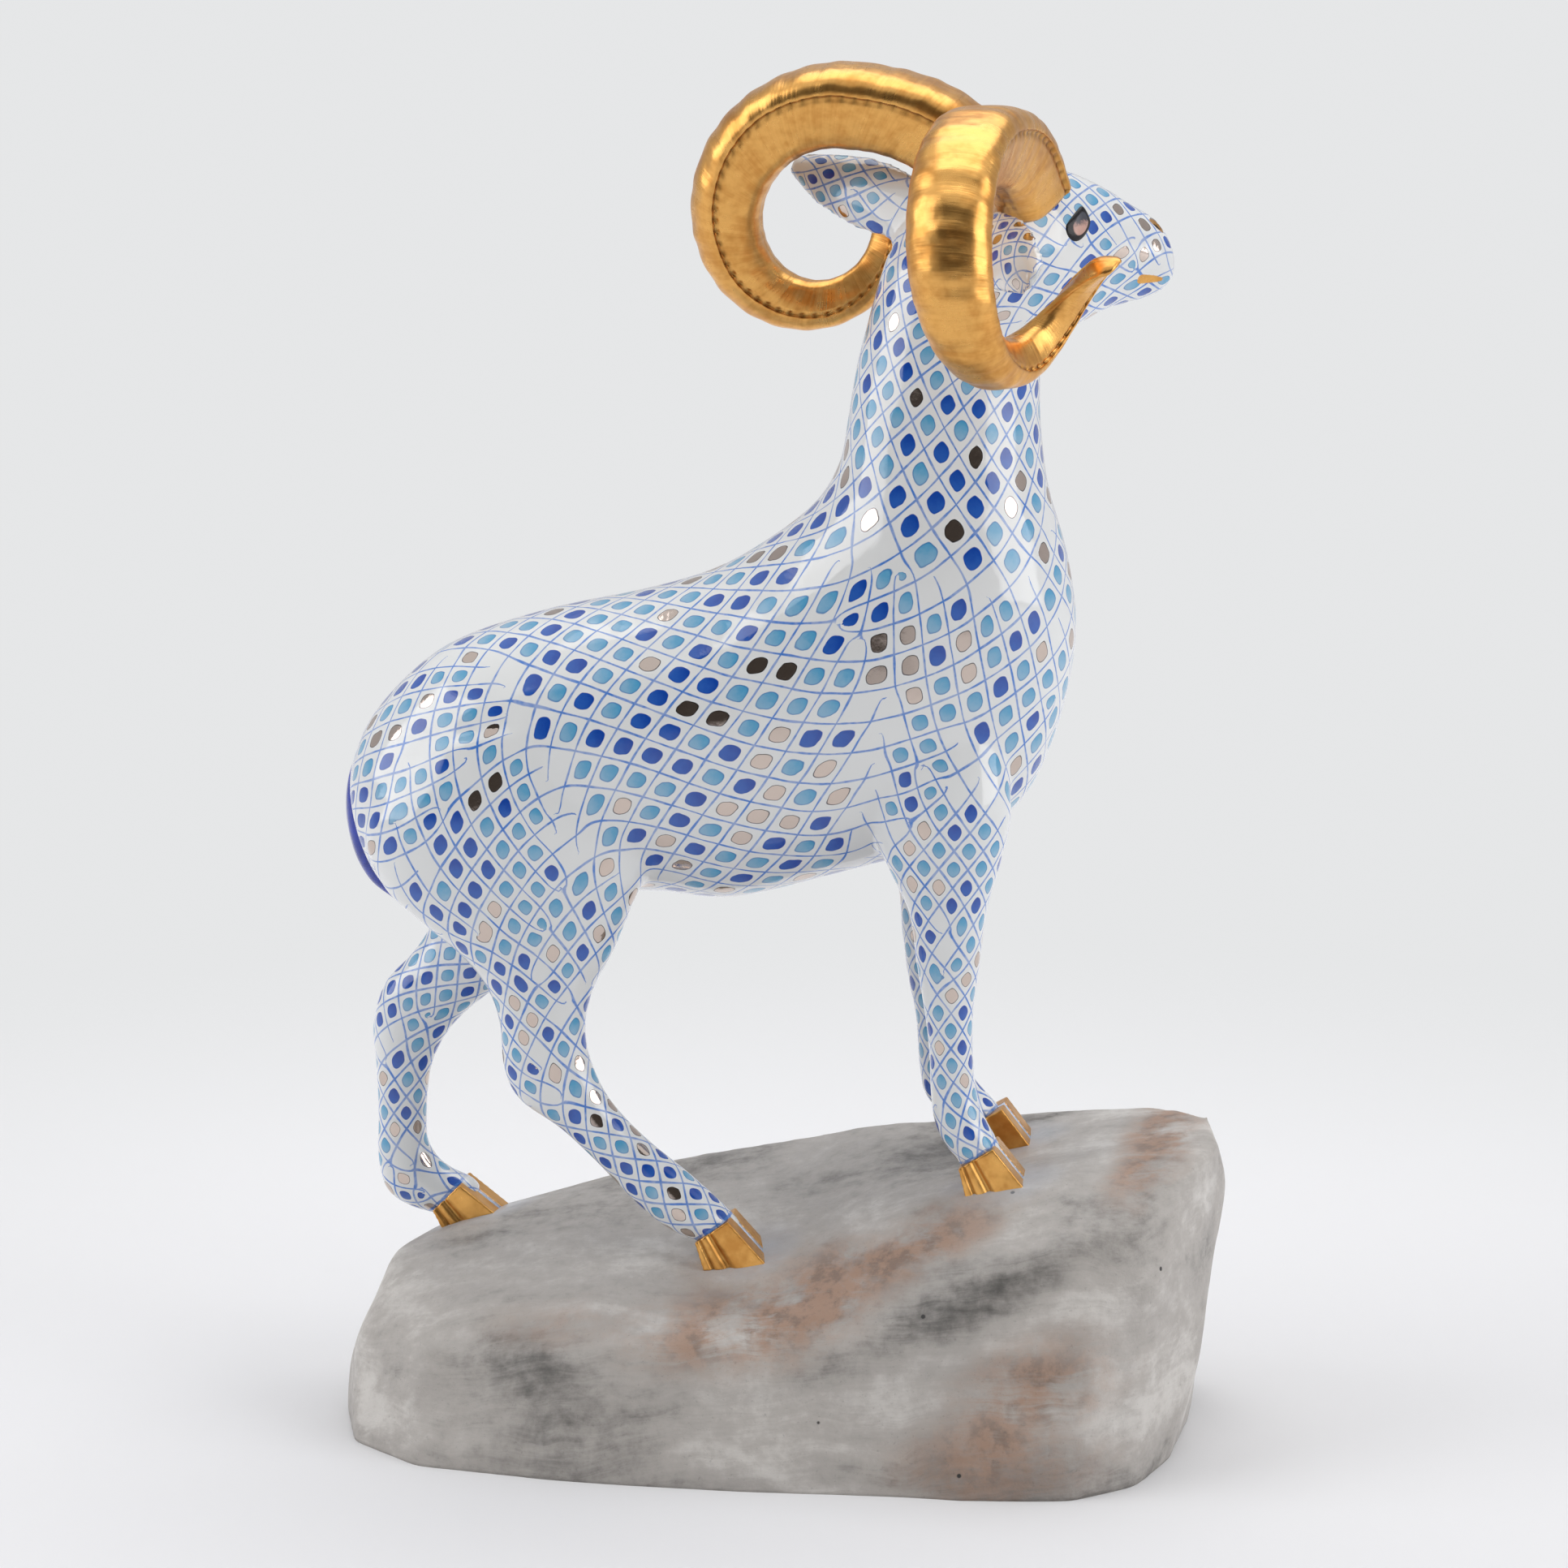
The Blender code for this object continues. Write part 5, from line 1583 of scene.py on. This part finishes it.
class RAM_OT_set_stage(bpy.types.Operator):
    """Set the pale floor, the soft lamps and the camera"""

    bl_idname = "ram_figurine.set_stage"
    bl_label = "Set the Stage"

    def execute(self, context):
        settings = context.scene.ram_stage
        bm = bmesh.new()
        profile = [(0.0, 0.0)]
        for step in range(13):
            angle = math.radians(90 * step / 12)
            profile.append((SWEEP_FLOOR + SWEEP_BEND * math.sin(angle), SWEEP_BEND * (1 - math.cos(angle))))
        profile.append((SWEEP_FLOOR + SWEEP_BEND, SWEEP_TOP))
        verts = [bm.verts.new((radius, 0.0, height)) for radius, height in profile]
        for start, end in zip(verts, verts[1:]):
            bm.edges.new((start, end))
        bmesh.ops.spin(bm, geom=bm.verts[:] + bm.edges[:], cent=(0, 0, 0), axis=(0, 0, 1), angle=math.tau,
                       steps=96, use_merge=True)
        bmesh.ops.remove_doubles(bm, verts=bm.verts, dist=1e-5)
        bmesh.ops.recalc_face_normals(bm, faces=bm.faces)
        sweep = new_object("studio_sweep", bm)
        sweep.data.materials.append(sweep_material(settings))
        sweep.data.shade_smooth()
        place_camera(context.scene)
        for name, place, size in LAMPS:
            place_lamp(f"{name}_lamp", place, size, getattr(settings, f"{name}_power"))
        light_world(context.scene, settings)
        return {"FINISHED"}


def place_camera(scene):
    shift = Vector(CENTRE_SHIFT)
    place = (Vector(CAMERA_PLACE) + shift) * MM
    target = (Vector(CAMERA_TARGET) + shift) * MM
    data = bpy.data.cameras.new("camera")
    data.lens = CAMERA_LENS
    data.sensor_width = 36.0
    data.clip_start = 0.01
    data.clip_end = 20.0
    camera = bpy.data.objects.new("camera", data)
    camera.location = place
    camera.rotation_euler = (target - place).to_track_quat("-Z", "Y").to_euler()
    scene.collection.objects.link(camera)
    scene.camera = camera


def place_lamp(name, place, size, power):
    """A square soft lamp that looks at the middle of the figurine."""
    data = bpy.data.lights.new(name, "AREA")
    data.size = size
    data.energy = power
    lamp = bpy.data.objects.new(name, data)
    lamp.location = place
    lamp.rotation_euler = (Vector(LAMP_TARGET) - Vector(place)).to_track_quat("-Z", "Y").to_euler()
    bpy.context.scene.collection.objects.link(lamp)


def light_world(scene, settings):
    world = bpy.data.worlds.new("studio")
    world.use_nodes = True
    nodes = Nodes(world.node_tree)
    even = world.node_tree.nodes["Background"]
    nodes.fill(even.inputs, {"Color": (1.0, 1.0, 1.0), "Strength": settings.sky})
    seen = nodes.add("ShaderNodeBackground", {"Color": settings.backdrop, "Strength": 1.0})
    rays = nodes.add("ShaderNodeLightPath").outputs
    direct = nodes.math("MAXIMUM", rays["Is Camera Ray"],
                        nodes.math("MAXIMUM", rays["Is Glossy Ray"], rays["Is Transmission Ray"]))
    mixed = nodes.add("ShaderNodeMixShader", {0: direct, 1: even.outputs[0], 2: seen.outputs[0]})
    nodes.fill(world.node_tree.nodes["World Output"].inputs, {"Surface": mixed.outputs[0]})
    scene.world = world
    scene.view_settings.view_transform = "Standard"


class RAM_PT_figurine(bpy.types.Panel):
    """Lists the steps that make the figurine, with the sizes and colours of each"""

    bl_idname = "RAM_PT_figurine"
    bl_label = "Ram Figurine"
    bl_space_type = "VIEW_3D"
    bl_region_type = "UI"
    bl_category = "Ram Figurine"

    def draw(self, context):
        scene = context.scene
        for step, settings in (
            (RAM_OT_carve_rock, scene.ram_rock), (RAM_OT_shape_skin, scene.ram_skin),
            (RAM_OT_curl_horns, scene.ram_gilding), (RAM_OT_set_hooves, None),
            (RAM_OT_hang_tail, scene.ram_tail_and_eyes), (RAM_OT_set_eyes, None),
            (RAM_OT_set_stage, scene.ram_stage),
        ):
            box = self.layout.box()
            box.operator(step.bl_idname)
            if settings:
                for name in settings.__annotations__:
                    box.prop(settings, name)


CLASSES = (
    RamSkinSettings, GildingSettings, TailAndEyeSettings, RockSettings, StageSettings,
    RAM_OT_carve_rock, RAM_OT_shape_skin, RAM_OT_curl_horns, RAM_OT_set_hooves, RAM_OT_hang_tail,
    RAM_OT_set_eyes, RAM_OT_set_stage, RAM_PT_figurine,
)
SETTINGS = (
    ("ram_skin", RamSkinSettings), ("ram_gilding", GildingSettings),
    ("ram_tail_and_eyes", TailAndEyeSettings), ("ram_rock", RockSettings), ("ram_stage", StageSettings),
)


def register():
    for item in CLASSES:
        bpy.utils.register_class(item)
    for name, kind in SETTINGS:
        setattr(bpy.types.Scene, name, PointerProperty(type=kind))


def unregister():
    for name, kind in SETTINGS:
        delattr(bpy.types.Scene, name)
    for item in reversed(CLASSES):
        bpy.utils.unregister_class(item)


def main():
    register()
    bpy.ops.ram_figurine.carve_rock()
    bpy.ops.ram_figurine.shape_skin()
    bpy.ops.ram_figurine.curl_horns()
    bpy.ops.ram_figurine.set_hooves()
    bpy.ops.ram_figurine.hang_tail()
    bpy.ops.ram_figurine.set_eyes()
    bpy.ops.ram_figurine.set_stage()


if __name__ == "__main__":
    main()
